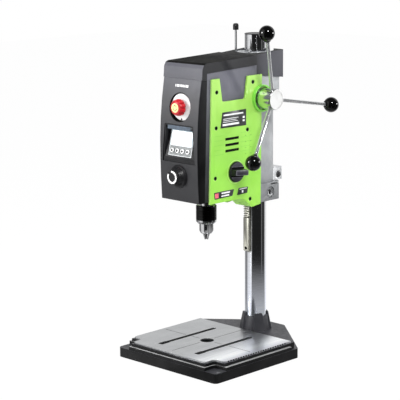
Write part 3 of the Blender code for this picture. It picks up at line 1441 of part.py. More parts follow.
def make_display_screen(material):
    middle = (screen_low + screen_high) / 2
    normal = floor_normal()
    along = Vector((0, normal.z, -normal.y))
    half_length = (screen_high - screen_low) / 2 / along.z
    center = Vector((0, pocket_floor_y(middle), middle)) + normal * (SEAT_GAP + screen_thickness / 2)
    bm = box((-screen_half_width, -half_length, -screen_thickness / 2),
             (screen_half_width, half_length, screen_thickness / 2))
    turn = Matrix((RIGHT, along, normal)).transposed().to_4x4()
    bmesh.ops.transform(bm, matrix=Matrix.Translation(center) @ turn, verts=bm.verts[:])
    make_object("display_screen", bm, material)


def make_display_button(index, material, pivot):
    face = button_stand + button_height
    edge = button_height / 5
    profile = [(0, -button_stem_depth), (button_stem_radius, -button_stem_depth), (button_stem_radius, button_stand),
               (button_radius, button_stand), (button_radius, face - edge), (button_radius - edge, face), (0, face)]
    make_object("display_button_%d" % (index + 1),
                aimed(lathe(profile, SMALL_SEGMENTS), floor_normal(), button_place(index)), material, pivot)


# Emergency stop: switch with its plate in a recess of the cover, and the mushroom button
stop_height = 0.533
stop_plate_radius = 0.029
stop_plate_thickness = 0.0012
stop_seat = -0.2175
stop_cup_radius = 0.033
stop_stem_radius = 0.008
stop_stem_length = 0.018
stop_head_radius = 0.017
stop_head_stand = 0.0045
stop_head_length = 0.0125
stop_face_radius = 0.0085
stop_face_height = 0.0015
stop_travel = 0.004
stop_block_radius = 0.0155
stop_block_rear = -0.190
stop_flute_count = 12
stop_flute_radius = 0.002


def stop_cup_rear():
    return stop_seat + cover_wall


def stop_plate_front():
    """Distance of the plate's front face along -Y."""
    return -stop_seat + SEAT_GAP + stop_plate_thickness


def stop_stem_end():
    return stop_plate_front() + stop_head_stand - stop_stem_length


def make_stop_switch(material):
    """Round plate in the recess, whose neck passes the cover's wall to the contact block behind it."""
    hole = stop_stem_radius + RUNNING_GAP
    neck = stop_block_radius - SEAT_GAP
    flange = stop_block_radius + cover_wall
    flange_front = -stop_cup_rear() - SEAT_GAP
    floor = stop_stem_end() - stop_travel - SEAT_GAP
    profile = [(0, -stop_block_rear), (flange, -stop_block_rear), (flange, flange_front), (neck, flange_front),
               (neck, -stop_seat + SEAT_GAP), (stop_plate_radius, -stop_seat + SEAT_GAP),
               (stop_plate_radius, stop_plate_front()), (hole, stop_plate_front()), (hole, floor), (0, floor)]
    make_object("stop_switch", aimed(lathe(profile, FINE_SEGMENTS), FORWARD, (0, 0, stop_height)), material)


def make_stop_button(material, pivot):
    back = stop_plate_front() + stop_head_stand
    face = back + stop_head_length
    edge = stop_face_height
    profile = [(0, stop_stem_end()), (stop_stem_radius, stop_stem_end()), (stop_stem_radius, back),
               (stop_head_radius - edge, back), (stop_head_radius, back + edge), (stop_head_radius, face - 2 * edge),
               (stop_head_radius - edge, face - edge / 2), (stop_face_radius, face), (stop_face_radius, face + edge),
               (0, face + edge)]
    axis = (0, 0, stop_height)
    button = make_object("stop_button", aimed(lathe(profile, ROUND_SEGMENTS), FORWARD, axis), material, pivot)
    reach = stop_head_radius + stop_flute_radius / 2
    for index in range(stop_flute_count):
        angle = 2 * math.pi * index / stop_flute_count
        flute = moved(cylinder(stop_flute_radius, back + edge, face + OVERRUN, SCREW_SEGMENTS),
                      reach * math.cos(angle), reach * math.sin(angle), 0)
        cut(button, "flute_%d" % (index + 1), aimed(flute, FORWARD, axis))


# Speed knob on the front
speed_height = 0.3945
speed_skirt_radius = 0.023
speed_skirt_height = 0.002
speed_cap_radius = 0.0145
speed_reach = 0.0187
speed_shaft_radius = 0.003
speed_back_gap = 0.0004


def make_speed_knob(material, pivot):
    back = HEAD_REACH + speed_back_gap
    tip = -board_front() + 2 * board_thickness
    face = back + speed_reach
    edge = speed_skirt_height / 2
    profile = [(0, tip), (speed_shaft_radius, tip), (speed_shaft_radius, back), (speed_skirt_radius, back),
               (speed_skirt_radius, back + speed_skirt_height),
               ((speed_skirt_radius + speed_cap_radius) / 2, back + speed_reach / 2),
               (speed_cap_radius, face - edge), (speed_cap_radius - edge, face), (0, face)]
    make_object("speed_knob", aimed(lathe(profile, ROUND_SEGMENTS), FORWARD, (0, 0, speed_height)),
                material, pivot)


# Selector knob on the right side plate
selector_y = -0.1228
selector_height = 0.3964
selector_radius = 0.0215
selector_disc_height = 0.006
selector_edge = 0.001
selector_bar_height = 0.020
selector_bar_half_width = 0.0048
selector_shaft_radius = 0.003
selector_lean_degrees = 8


def make_selector_knob(material, pivot):
    low = plate_outer() + SEAT_GAP
    face = low + selector_disc_height
    foot = plate_inner() + SEAT_GAP
    axis = (0, selector_y, selector_height)
    profile = [(0, foot), (selector_shaft_radius, foot), (selector_shaft_radius, low), (selector_radius, low),
               (selector_radius, face - selector_edge), (selector_radius - selector_edge, face), (0, face)]
    knob = make_object("selector_knob", aimed(lathe(profile, ROUND_SEGMENTS), RIGHT, axis), material, pivot)
    fillet = selector_bar_half_width / 2
    foot_outline = rectangle(selector_bar_half_width, -selector_radius + selector_edge,
                             selector_radius - selector_edge, fillet)
    top_outline = rectangle(selector_bar_half_width - selector_edge, -selector_radius + 2 * selector_edge,
                            selector_radius - 2 * selector_edge, fillet)
    bar = stack([foot_outline, top_outline], [face - selector_disc_height / 2, low + selector_bar_height])
    join(knob, "grip_bar", aimed(spun(bar, math.radians(selector_lean_degrees)), RIGHT, axis))


# Thin rod with a knob on top of the head
rod_x = -0.024
rod_y = -0.0343
rod_radius = 0.0023
rod_bottom = 0.575
rod_top = 0.687
rod_tip_radius = 0.006
rod_tip_length = 0.0135
rod_tip_bore = 0.010


def make_stop_rod(material, pivot):
    end = rod_top - rod_tip_length + rod_tip_bore
    make_object("stop_rod", moved(cylinder(rod_radius, rod_bottom, end, SMALL_SEGMENTS), rod_x, rod_y, 0),
                material, pivot)


def make_stop_rod_tip(material, pivot):
    low = rod_top - rod_tip_length
    bore = rod_radius + SEAT_GAP
    bore_top = low + rod_tip_bore + SEAT_GAP
    round_off = rod_tip_radius / 3
    profile = [(0, bore_top), (bore, bore_top), (bore, low), (rod_tip_radius, low),
               (rod_tip_radius, rod_top - 2 * round_off), (rod_tip_radius - round_off / 2, rod_top - round_off / 2),
               (rod_tip_radius - 2 * round_off, rod_top), (0, rod_top)]
    make_object("stop_rod_tip", moved(lathe(profile, SMALL_SEGMENTS), rod_x, rod_y, 0), material, pivot)


# Assembly

def build_base(iron, plate_steel, chrome, steel, plastic):
    make_base_casting(iron)
    make_work_table(plate_steel)
    make_table_screws(steel)
    make_column_tube(chrome)
    make_column_cap(plastic)
    make_rack(steel)
    make_rack_screws(steel)


def build_head(aluminium, steel, bronze, grey, dark, frame_grey, green):
    make_head_casting(aluminium)
    make_gearcase_lid(aluminium)
    make_front_cover(grey)
    make_top_cover(dark)
    for side in (-1, 1):
        make_side_frame(side, frame_grey)
        make_side_plate(side, green)
    make_plate_screws(steel)
    make_pinion_bush(bronze)
    make_clamp_screw(steel)
    make_lock_screw(steel)
    make_spring_housing(dark)
    make_return_spring(steel)
    make_bearing("lower_spindle_bearing", lower_bearing_inner, lower_bearing_outer, lower_bearing_bottom,
                 lower_bearing_width, steel)
    make_bearing("upper_spindle_bearing", upper_journal_radius + SEAT_GAP, upper_bearing_outer,
                 upper_bearing_bottom, upper_bearing_width, steel)
    make_motor_housing(steel)


def build_spindle(steel):
    spindle = make_pivot("spindle_pivot", (0, SPINDLE_Y, nose_bottom))
    make_spindle_shaft(steel, spindle)
    make_spindle_gear(steel, spindle)
    make_chuck_body(steel, spindle)
    make_chuck_sleeve(steel, spindle)
    for index in range(jaw_count):
        make_chuck_jaw(index, steel, make_pivot("jaw_pivot_%d" % (index + 1), jaw_tip(index)))
    make_motor_rotor(steel, make_pivot("rotor_pivot", (0, motor_y(), motor_bottom)))


def build_handle(steel, chrome, gloss_black):
    feed = make_pivot("feed_pivot", (0, PINION_Y, PINION_HEIGHT))
    make_pinion_shaft(steel, feed)
    make_lever_hub(chrome, feed)
    for index in range(lever_count):
        make_lever(index, chrome, feed)
        make_lever_ball(index, gloss_black, feed)


def build_controls(dark, white, red, screen, board_green, chrome):
    make_circuit_board(board_green)
    make_display_housing(dark)
    make_display_screen(screen)
    for index in range(button_count):
        make_display_button(index, white, make_pivot("button_pivot_%d" % (index + 1), button_place(index)))
    make_stop_switch(white)
    make_stop_button(red, make_pivot("stop_button_pivot", (0, stop_seat, stop_height)))
    make_speed_knob(dark, make_pivot("speed_pivot", (0, -HEAD_REACH, speed_height)))
    make_selector_knob(dark, make_pivot("selector_pivot", (plate_outer(), selector_y, selector_height)))
    rod = make_pivot("rod_pivot", (rod_x, rod_y, rod_bottom))
    make_stop_rod(chrome, rod)
    make_stop_rod_tip(dark, rod)


def build():
    clear_scene()
    iron = make_material("black_iron", (0.02, 0.02, 0.021), 0.45)
    plate_steel = make_material("brushed_steel", (0.62, 0.62, 0.63), 0.3, 1.0)
    chrome = make_material("chrome", (0.8, 0.8, 0.82), 0.08, 1.0)
    steel = make_material("dark_steel", (0.3, 0.3, 0.3), 0.4, 1.0)
    aluminium = make_material("cast_aluminium", (0.42, 0.43, 0.44), 0.5, 0.6)
    grey = make_material("grey_plastic", (0.16, 0.16, 0.18), 0.45)
    dark = make_material("dark_plastic", (0.035, 0.035, 0.04), 0.5)
    frame_grey = make_material("frame_grey", (0.24, 0.24, 0.29), 0.45)
    green = make_material("green_plastic", (0.35, 0.8, 0.12), 0.35)
    gloss_black = make_material("gloss_black", (0.005, 0.005, 0.005), 0.1)
    red = make_material("red_plastic", (0.6, 0.01, 0.01), 0.35)
    white = make_material("white_plastic", (0.85, 0.85, 0.83), 0.4)
    screen = make_material("screen_glass", (0.75, 0.78, 0.75), 0.15)
    bronze = make_material("bronze", (0.55, 0.38, 0.15), 0.35, 1.0)
    board_green = make_material("circuit_board", (0.02, 0.16, 0.05), 0.5)
    build_base(iron, plate_steel, chrome, steel, dark)
    build_head(aluminium, steel, bronze, grey, dark, frame_grey, green)
    build_spindle(steel)
    build_handle(steel, chrome, gloss_black)
    build_controls(dark, white, red, screen, board_green, chrome)


build()
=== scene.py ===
import json
from math import asin, atan2, cos, hypot, pi, radians, sin, sqrt
import bpy
import bmesh
from mathutils import Matrix, Vector

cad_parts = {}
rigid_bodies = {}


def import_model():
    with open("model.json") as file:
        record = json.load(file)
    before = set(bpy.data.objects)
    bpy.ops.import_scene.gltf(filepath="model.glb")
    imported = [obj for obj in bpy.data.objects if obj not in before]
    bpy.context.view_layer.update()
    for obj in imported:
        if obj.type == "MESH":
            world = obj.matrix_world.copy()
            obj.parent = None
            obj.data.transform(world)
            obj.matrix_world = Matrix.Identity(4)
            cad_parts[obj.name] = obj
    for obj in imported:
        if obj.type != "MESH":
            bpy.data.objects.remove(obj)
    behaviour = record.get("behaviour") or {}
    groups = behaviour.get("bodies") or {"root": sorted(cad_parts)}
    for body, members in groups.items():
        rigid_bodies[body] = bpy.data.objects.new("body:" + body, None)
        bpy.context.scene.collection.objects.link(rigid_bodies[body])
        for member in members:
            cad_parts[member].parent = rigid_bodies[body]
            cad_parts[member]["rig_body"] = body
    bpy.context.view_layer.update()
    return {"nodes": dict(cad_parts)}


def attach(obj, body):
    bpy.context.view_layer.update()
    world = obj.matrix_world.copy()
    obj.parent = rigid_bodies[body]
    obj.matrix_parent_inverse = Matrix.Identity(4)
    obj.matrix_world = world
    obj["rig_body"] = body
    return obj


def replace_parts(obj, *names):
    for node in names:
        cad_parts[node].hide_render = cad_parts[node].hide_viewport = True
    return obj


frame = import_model()
cad = frame["nodes"]
print("frame loaded")


def linkObject(name, data):
    item = bpy.data.objects.new(name, data)
    bpy.context.scene.collection.objects.link(item)
    return item


def linkMesh(name, bm):
    mesh = bpy.data.meshes.new(name)
    bm.to_mesh(mesh)
    bm.free()
    return linkObject(name, mesh)


# camera at the photo's viewpoint

cameraValues = {
    "eye": (2.16887, -2.37961, 0.94591),
    "right": (0.714887, 0.699208, -0.006679),
    "forward": (-0.687017, 0.700579, -0.192864),
    "lens": 139.34,
    "sensor": 36.0,
    "farEnd": 50,
}


def makeCamera(v):
    data = bpy.data.cameras.new("camera")
    data.lens = v["lens"]
    data.sensor_width = v["sensor"]
    data.clip_end = v["farEnd"]
    cam = linkObject("camera", data)
    right = Vector(v["right"]).normalized()
    back = -Vector(v["forward"]).normalized()
    up = back.cross(right).normalized()
    right = up.cross(back)
    turn = Matrix((right, up, back)).transposed().to_4x4()
    cam.matrix_world = Matrix.Translation(v["eye"]) @ turn
    bpy.context.scene.camera = cam


makeCamera(cameraValues)
print("camera placed")

# materials


def startMaterial(name):
    mat = bpy.data.materials.new(name)
    mat.use_nodes = True
    tree = mat.node_tree
    shader = tree.nodes["Principled BSDF"]
    return mat, tree, shader


def addNode(tree, kind, **settings):
    node = tree.nodes.new(kind)
    for key, value in settings.items():
        if key in node.inputs:
            node.inputs[key].default_value = value
        else:
            setattr(node, key, value)
    return node


def setInputs(node, values):
    for key, value in values.items():
        node.inputs[key].default_value = value


def objectCoords(tree, scale=(1, 1, 1)):
    coord = addNode(tree, "ShaderNodeTexCoord")
    mapping = addNode(tree, "ShaderNodeMapping", Scale=scale)
    tree.links.new(coord.outputs["Object"], mapping.inputs["Vector"])
    return mapping.outputs["Vector"]


def noise(tree, coords, scale, detail=3.0):
    node = addNode(tree, "ShaderNodeTexNoise", Scale=scale, Detail=detail)
    tree.links.new(coords, node.inputs["Vector"])
    return node.outputs["Fac"]


def asColor(tone):
    # one number stands for a grey
    return tone if isinstance(tone, tuple) else (tone, tone, tone)


def ramp(tree, fac, stops):
    node = addNode(tree, "ShaderNodeValToRGB")
    tree.links.new(fac, node.inputs["Fac"])
    elements = node.color_ramp.elements
    while len(elements) < len(stops):
        elements.new(0.5)
    for element, (place, color) in zip(elements, stops):
        element.position = place
        element.color = (*asColor(color), 1)
    return node.outputs["Color"]


def mapRange(tree, value, source, target=(0.0, 1.0)):
    node = addNode(tree, "ShaderNodeMapRange")
    tree.links.new(value, node.inputs["Value"])
    ends = ("From Min", "From Max", "To Min", "To Max")
    setInputs(node, dict(zip(ends, (*source, *target))))
    return node.outputs["Result"]


def doMath(tree, operation, first, second):
    node = addNode(tree, "ShaderNodeMath", operation=operation)
    tree.links.new(first, node.inputs[0])
    tree.links.new(second, node.inputs[1])
    return node.outputs[0]


def mixShaders(tree, factor, first, second):
    node = addNode(tree, "ShaderNodeMixShader")
    for source, socket in zip((factor, first, second), node.inputs):
        tree.links.new(source, socket)
    return node.outputs[0]


def bump(tree, shader, height, strength, distance):
    node = addNode(tree, "ShaderNodeBump", Strength=strength, Distance=distance)
    tree.links.new(height, node.inputs["Height"])
    tree.links.new(node.outputs["Normal"], shader.inputs["Normal"])


def fade(tree, tone, v):
    # the tone is multiplied by colours that change along one axis of the object: painted light and
    # shade, lighter or darker along that axis
    coord = addNode(tree, "ShaderNodeTexCoord")
    split = addNode(tree, "ShaderNodeSeparateXYZ")
    tree.links.new(coord.outputs["Object"], split.inputs[0])
    place = mapRange(tree, split.outputs[v["axis"]], v["span"])
    mix = addNode(tree, "ShaderNodeMix", data_type="RGBA", blend_type="MULTIPLY")
    setInputs(mix, {"Factor": 1.0})
    tree.links.new(tone, mix.inputs[6])
    tree.links.new(ramp(tree, place, v["stops"]), mix.inputs[7])
    return mix.outputs[2]


def setTones(tree, shader, fac, band, v):
    tone = ramp(tree, fac, tuple(zip(band, v["tones"])))
    if "fade" in v:
        tone = fade(tree, tone, v["fade"])
    tree.links.new(tone, shader.inputs["Base Color"])


# bands of the noise that the tones and the roughness spread over, and how high the bumps are
surfaceValues = {
    "patchBand": (0.35, 0.65), "lineBand": (0.3, 0.7), "speckle": 5, "grainHeight": 0.0004,
    "lineStrength": 0.12, "lineHeight": 0.0002, "metalCloud": 30,
}

# what a finish has unless its own row says something else
plainFinish = {"grain": 500, "grainDepth": 0.05, "cloud": 90, "gloss": 0.5, "metal": 0.0}

# each finish: two tones, how rough it is, and the grain and clouds of its surface
finishValues = {
    "blackIron": {"tones": ((0.0028, 0.0028, 0.0032), (0.0056, 0.0056, 0.0060)), "rough": (0.36, 0.52),
        "grain": 420, "grainDepth": 0.30, "cloud": 26, "gloss": 0.18},
    # deckLitIron: painted light, a lighter tone for the base's upward faces than for its sides
    "deckLitIron": {"tones": ((0.024, 0.024, 0.029), (0.034, 0.034, 0.039)), "rough": (0.40, 0.52),
        "grain": 420, "grainDepth": 0.30, "cloud": 26, "gloss": 0.30},
    # ledgeHighlight: painted highlight, a light line along the flange's top ledge
    "ledgeHighlight": {"tones": (0.25, 0.31), "rough": (0.36, 0.46), "grain": 420, "grainDepth": 0.20,
        "cloud": 26, "gloss": 0.30},
    # castAluminium: darker towards the bottom by painted shade (its fade along z)
    "castAluminium": {"tones": ((0.31, 0.32, 0.33), (0.39, 0.40, 0.41)), "rough": (0.46, 0.62),
        "metal": 0.35, "grain": 620, "grainDepth": 0.5, "cloud": 34,
        "fade": {"axis": 2, "span": (0.31, 0.42), "stops": ((0.0, 0.45), (1.0, 1.0))}},
    # lugHighlight: painted light, a paler and more metallic tone for the head's rear lug, against the
    # painted shade of the lower casting
    "lugHighlight": {"tones": ((0.50, 0.51, 0.52), (0.62, 0.63, 0.64)), "rough": (0.34, 0.46), "metal": 0.5,
        "grain": 900, "grainDepth": 0.2, "cloud": 34},
    # coverGrey: lighter towards the top and darker towards the bottom by painted light and shade (its
    # fade along z)
    "coverGrey": {"tones": ((0.080, 0.080, 0.091), (0.096, 0.096, 0.107)), "rough": (0.40, 0.50),
        "grain": 900, "grainDepth": 0.22, "cloud": 18, "gloss": 0.35,
        "fade": {"axis": 2, "span": (0.34, 0.63), "stops": ((0.0, 0.21), (0.35, (0.30, 0.30, 0.29)),
        (0.72, (0.56, 0.56, 0.54)), (0.90, (0.95, 0.95, 0.98)))}},
    # coverShadeBlack: painted shade, near-black for the front cover's sides and underside, darker
    # towards the bottom and lighter towards the top
    "coverShadeBlack": {"tones": ((0.008, 0.008, 0.009), (0.012, 0.012, 0.013)), "rough": (0.36, 0.48),
        "grain": 900, "grainDepth": 0.2, "cloud": 18, "gloss": 0.12,
        "fade": {"axis": 2, "span": (0.34, 0.60), "stops": ((0.0, 0.2), (0.5, 0.5), (1.0, 1.6))}},
    # topGrey and topBlack: lighter towards the rear by painted light (their fades along y); topBlack,
    # darker and matter, goes on the upward faces
    "topGrey": {"tones": ((0.014, 0.014, 0.016), (0.019, 0.019, 0.021)), "rough": (0.36, 0.46),
        "grain": 900, "grainDepth": 0.22, "cloud": 18, "gloss": 0.20,
        "fade": {"axis": 1, "span": (-0.06, -0.02), "stops": ((0.0, 1.0), (1.0, (3.2, 3.2, 3.4)))}},
    "topBlack": {"tones": (0.005, (0.011, 0.011, 0.010)), "rough": (0.62, 0.72), "grain": 700,
        "grainDepth": 0.5, "cloud": 22, "gloss": 0.03,
        "fade": {"axis": 1, "span": (-0.14, -0.02),
        "stops": ((0.0, 1.0), (1.0, (4.0, 4.0, 4.2)))}},
    # frameGrey: darker towards the bottom by painted shade (its fade along z)
    "frameGrey": {"tones": ((0.092, 0.092, 0.112), (0.112, 0.112, 0.134)), "rough": (0.40, 0.52),
        "grain": 800, "grainDepth": 0.2, "cloud": 22, "gloss": 0.3,
        "fade": {"axis": 2, "span": (0.34, 0.56), "stops": ((0.0, 0.10), (0.7, 0.6), (1.0, 1.0))}},
    "darkPlastic": {"tones": ((0.006, 0.006, 0.007), (0.011, 0.011, 0.012)), "rough": (0.32, 0.44),
        "grain": 900, "grainDepth": 0.2, "cloud": 30, "gloss": 0.3},
    "glossBlack": {"tones": (0.001, 0.002), "rough": (0.02, 0.04), "grain": 300, "grainDepth": 0.03,
        "cloud": 40, "gloss": 0.42},
    # green: changes along the height by painted light: darker towards the bottom, paler and bluer
    # towards the top as a painted sheen (its fade along z)
    "green": {"tones": ((0.25, 0.55, 0.062), (0.29, 0.60, 0.080)), "rough": (0.28, 0.38), "grain": 1100,
        "grainDepth": 0.12, "cloud": 16,
        "fade": {"axis": 2, "span": (0.34, 0.58),
        "stops": ((0.0, (0.90, 0.93, 0.82)), (0.3, (0.85, 0.94, 0.80)), (1.0, (1.12, 0.96, 1.35)))}},
    "red": {"tones": ((0.38, 0.006, 0.012), (0.48, 0.010, 0.018)), "rough": (0.26, 0.36), "grain": 700,
        "grainDepth": 0.08, "cloud": 60},
    "white": {"tones": ((0.78, 0.78, 0.77), (0.86, 0.86, 0.85)), "rough": (0.34, 0.44), "grain": 800,
        "grainDepth": 0.08, "cloud": 60},
    "yellow": {"tones": ((0.82, 0.70, 0.30), (0.88, 0.77, 0.38)), "rough": (0.30, 0.40), "grain": 700,
        "grainDepth": 0.06, "cloud": 80},
    "labelDark": {"tones": ((0.020, 0.020, 0.022), (0.030, 0.030, 0.032)), "rough": (0.30, 0.42),
        "cloud": 60},
    # labelPale: pale grey for the labels' print and for the painted highlight on the bores' rims
    "labelPale": {"tones": ((0.62, 0.63, 0.63), (0.72, 0.73, 0.73)), "rough": (0.35, 0.45)},
    "labelRed": {"tones": ((0.60, 0.09, 0.13), (0.70, 0.13, 0.17)), "rough": (0.35, 0.45)},
    # ventDark: near-black for painted shade in the vents, the stop's recess, the selector's channel,
    # along the table's slots and on the plate screws; also the table's dashes and the rack screws
    "ventDark": {"tones": (0.002, 0.004), "rough": (0.6, 0.8), "gloss": 0.08},
    "greenGroove": {"tones": ((0.13, 0.42, 0.035), (0.16, 0.48, 0.045)), "rough": (0.4, 0.5)},
    # groove: dark grey for the table's engraved lines and for the painted shade on the bores' rims
    "groove": {"tones": (0.020, 0.035), "rough": (0.5, 0.6)},
    "stripGrey": {"tones": ((0.16, 0.17, 0.17), (0.20, 0.21, 0.21)), "rough": (0.35, 0.45)},
    "displayBlue": {"tones": ((0.30, 0.42, 0.50), (0.36, 0.48, 0.56)), "rough": (0.25, 0.35)},
    # pocketBlue: painted shade and a bluish painted reflection for the recess above the screen
    "pocketBlue": {"tones": ((0.055, 0.072, 0.095), (0.10, 0.13, 0.17)), "rough": (0.25, 0.35)},
    "framePale": {"tones": ((0.58, 0.60, 0.61), (0.68, 0.70, 0.71)), "rough": (0.30, 0.40)},
    # hubFaceReflection: painted reflection, a pale matt grey for the lever hub's end face where the
    # chrome would show a bright reflection
    "hubFaceReflection": {"tones": ((0.50, 0.50, 0.49), (0.56, 0.56, 0.55)), "rough": (0.30, 0.40), "grain": 600,
        "cloud": 60},
    # greenHighlight: painted highlight for the side plates' front edges, the glints under the plate
    # screws and the ring round the selector
    "greenHighlight": {"tones": ((0.42, 0.74, 0.16), (0.48, 0.80, 0.20)), "rough": (0.30, 0.40),
        "grain": 600, "cloud": 60},
    # bossShadeGreen: a deeper green for the boss ring round the pinion, partly the ring's own tone and
    # partly painted shade
    "bossShadeGreen": {"tones": ((0.15, 0.50, 0.045), (0.20, 0.58, 0.065)), "rough": (0.30, 0.40),
        "grain": 1100, "grainDepth": 0.12, "cloud": 60},
    # greenDeep: very dark green for the rings of painted shade round the plate screws and for the dots
    # by the grooves
    "greenDeep": {"tones": ((0.012, 0.060, 0.008), (0.018, 0.080, 0.012)), "rough": (0.40, 0.50),
        "grain": 600, "cloud": 60},
    # knobLitFace: painted light, a paler tone for the selector's outward faces; knobEdge: painted
    # highlight on the grip's edges and along the channel
    "knobLitFace": {"tones": ((0.022, 0.020, 0.030), (0.034, 0.031, 0.044)), "rough": (0.32, 0.42),
        "grain": 900, "grainDepth": 0.12, "cloud": 60},
    "knobEdge": {"tones": ((0.085, 0.085, 0.10), (0.12, 0.12, 0.14)), "rough": (0.28, 0.38),
        "grain": 900, "grainDepth": 0.12, "cloud": 60},
    "markBrown": {"tones": ((0.22, 0.13, 0.02), (0.28, 0.17, 0.03)), "rough": (0.35, 0.45)},
    "boardGreen": {"tones": ((0.010, 0.10, 0.03), (0.015, 0.15, 0.05)), "rough": (0.35, 0.5),
        "grainDepth": 0.15, "cloud": 70},
}


def makeFinish(name, v, s):
    mat, tree, shader = startMaterial(name)
    coords = objectCoords(tree)
    setTones(tree, shader, noise(tree, coords, v["cloud"], 4), s["patchBand"], v)
    speckle = noise(tree, coords, v["cloud"] * s["speckle"])
    tree.links.new(mapRange(tree, speckle, s["lineBand"], v["rough"]), shader.inputs["Roughness"])
    setInputs(shader, {"Metallic": v["metal"], "Specular IOR Level": v["gloss"]})
    bump(tree, shader, noise(tree, coords, v["grain"], 5), v["grainDepth"], s["grainHeight"])
    return mat


# metals: two tones, how rough they are, and fine lines stretched along one axis of the object
metalValues = {
    # brushedPlate: painted highlight, a bright streak over the table's right part (its fade along x)
    "brushedPlate": {"tones": ((0.36, 0.37, 0.38), (0.52, 0.53, 0.54)), "rough": (0.26, 0.42),
        "stretch": (900, 14, 900),
        "fade": {"axis": 0, "span": (0.03, 0.13), "stops": ((0.0, 1.0),
        (0.35, (1.15, 1.15, 1.18)), (0.6, 1.8), (0.8, 2.2), (1.0, (1.5, 1.5, 1.55)))}},
    # chrome: paler and bluer towards the bottom, a painted reflection of the floor (its fade along z)
    "chrome": {"tones": ((0.72, 0.73, 0.75), (0.82, 0.83, 0.85)), "rough": (0.05, 0.12),
        "stretch": (60, 60, 900),
        "fade": {"axis": 2, "span": (0.06, 0.24),
        "stops": ((0.0, (1.15, 1.19, 1.30)), (1.0, 1.0))}},
    "darkSteel": {"tones": ((0.16, 0.16, 0.17), (0.30, 0.30, 0.31)), "rough": (0.26, 0.40),
        "stretch": (140, 140, 700)},
    "rackSteel": {"tones": ((0.62, 0.61, 0.52), (0.82, 0.81, 0.72)), "rough": (0.36, 0.50),
        "stretch": (500, 500, 40)},
    # chuckSteel: wide light and dark tones in vertical streaks, painted reflections round the chuck
    "chuckSteel": {"tones": ((0.20, 0.20, 0.21), (0.94, 0.94, 0.95)), "rough": (0.08, 0.18),
        "stretch": (260, 260, 8)},
    "chromeRod": {"tones": ((0.74, 0.75, 0.76), (0.82, 0.83, 0.84)), "rough": (0.07, 0.14),
        "stretch": (70, 70, 70), "metal": 0.86},
    "chromeHub": {"tones": ((0.76, 0.77, 0.78), (0.86, 0.87, 0.88)), "rough": (0.12, 0.22),
        "stretch": (1400, 40, 40)},
    "chuckSleeve": {"tones": (0.012, 0.026), "rough": (0.20, 0.32), "stretch": (60, 60, 900)},
    "bronze": {"tones": ((0.42, 0.28, 0.10), (0.58, 0.40, 0.16)), "rough": (0.28, 0.42),
        "stretch": (900, 60, 60)},
}


def makeMetal(name, v, s):
    mat, tree, shader = startMaterial(name)
    lines = noise(tree, objectCoords(tree, v["stretch"]), 1.0, 4)
    cloud = noise(tree, objectCoords(tree), s["metalCloud"], 3)
    setTones(tree, shader, lines, s["lineBand"], v)
    half = [rough / 2 for rough in v["rough"]]
    shares = [mapRange(tree, source, s["lineBand"], half) for source in (lines, cloud)]
    mixed = doMath(tree, "ADD", *shares)
    tree.links.new(mixed, shader.inputs["Roughness"])
    setInputs(shader, {"Metallic": v.get("metal", 1.0)})
    bump(tree, shader, lines, s["lineStrength"], s["lineHeight"])
    return mat


screenValues = {"tones": ((0.8084, 0.8366, 0.8272), (0.86, 0.89, 0.88)), "cloud": 40, "rough": 0.12,
                "glow": 0.55}


def makeScreenMaterial(v, s):
    mat, tree, shader = startMaterial("screenGlass")
    setTones(tree, shader, noise(tree, objectCoords(tree), v["cloud"], 2), s["lineBand"], v)
    setInputs(shader, {"Roughness": v["rough"], "Emission Color": (*v["tones"][1], 1),
                       "Emission Strength": v["glow"]})
    return mat


finish = {}
for name, row in finishValues.items():
    finish[name] = makeFinish(name, {**plainFinish, **row}, surfaceValues)
for name, row in metalValues.items():
    finish[name] = makeMetal(name, row, surfaceValues)
finish["screen"] = makeScreenMaterial(screenValues, surfaceValues)

nodeFinish = {
    "blackIron": ["base_casting"],
    "brushedPlate": ["work_table"],
    "chrome": ["column_tube", "lever_hub", "lever_1", "lever_2", "lever_3", "stop_rod"],
    "rackSteel": ["rack"],
    "chuckSteel": ["chuck_body", "chuck_sleeve", "chuck_jaw_1", "chuck_jaw_2", "chuck_jaw_3",
                   "spindle_shaft"],
    "castAluminium": ["head_casting", "gearcase_lid"],
    "coverGrey": ["front_cover"],
    "topGrey": ["top_cover"],
    "frameGrey": ["left_side_frame", "right_side_frame"],
    "green": ["left_side_plate", "right_side_plate"],
    "darkPlastic": ["column_cap", "spring_housing", "display_housing", "speed_knob", "selector_knob",
                    "stop_rod_tip"],
    "glossBlack": ["lever_ball_1", "lever_ball_2", "lever_ball_3"],
    "red": ["stop_button"],
    "white": ["stop_switch"] + [f"display_button_{k + 1}" for k in range(4)],
    "screen": ["display_screen"],
    "bronze": ["pinion_bush"],
    # the plate screws in near-black as painted shade at the bottom of their recesses; the rack screws
    # are black too
    "ventDark": [f"plate_screw_{k + 1}" for k in range(6)] + ["rack_screw_1", "rack_screw_2"],
    "boardGreen": ["circuit_board"],
}
finishOf = {node: name for name, members in nodeFinish.items() for node in members}


def finishFor(node):
    return finishOf.get(node, "darkSteel")


for node, item in cad.items():
    item.data.materials.clear()
    item.data.materials.append(finish[finishFor(node)])
print("materials made")

# pieces made from a CAD node's own faces, with their edges rounded by a width in metres

softWidths = {
    "base_casting": 0.0011, "work_table": 0.0004, "head_casting": 0.0008, "front_cover": 0.0008,
    "top_cover": 0.0014, "right_side_plate": 0.0006, "left_side_plate": 0.0006,
    "display_housing": 0.0004, "gearcase_lid": 0.0005, "rack": 0.0001, "chuck_body": 0.0002,
    "right_side_frame": 0.0004, "left_side_frame": 0.0004,
}
softValues = {"weld": 0.000005, "flat": 0.6, "sharp": 38, "segments": 2}


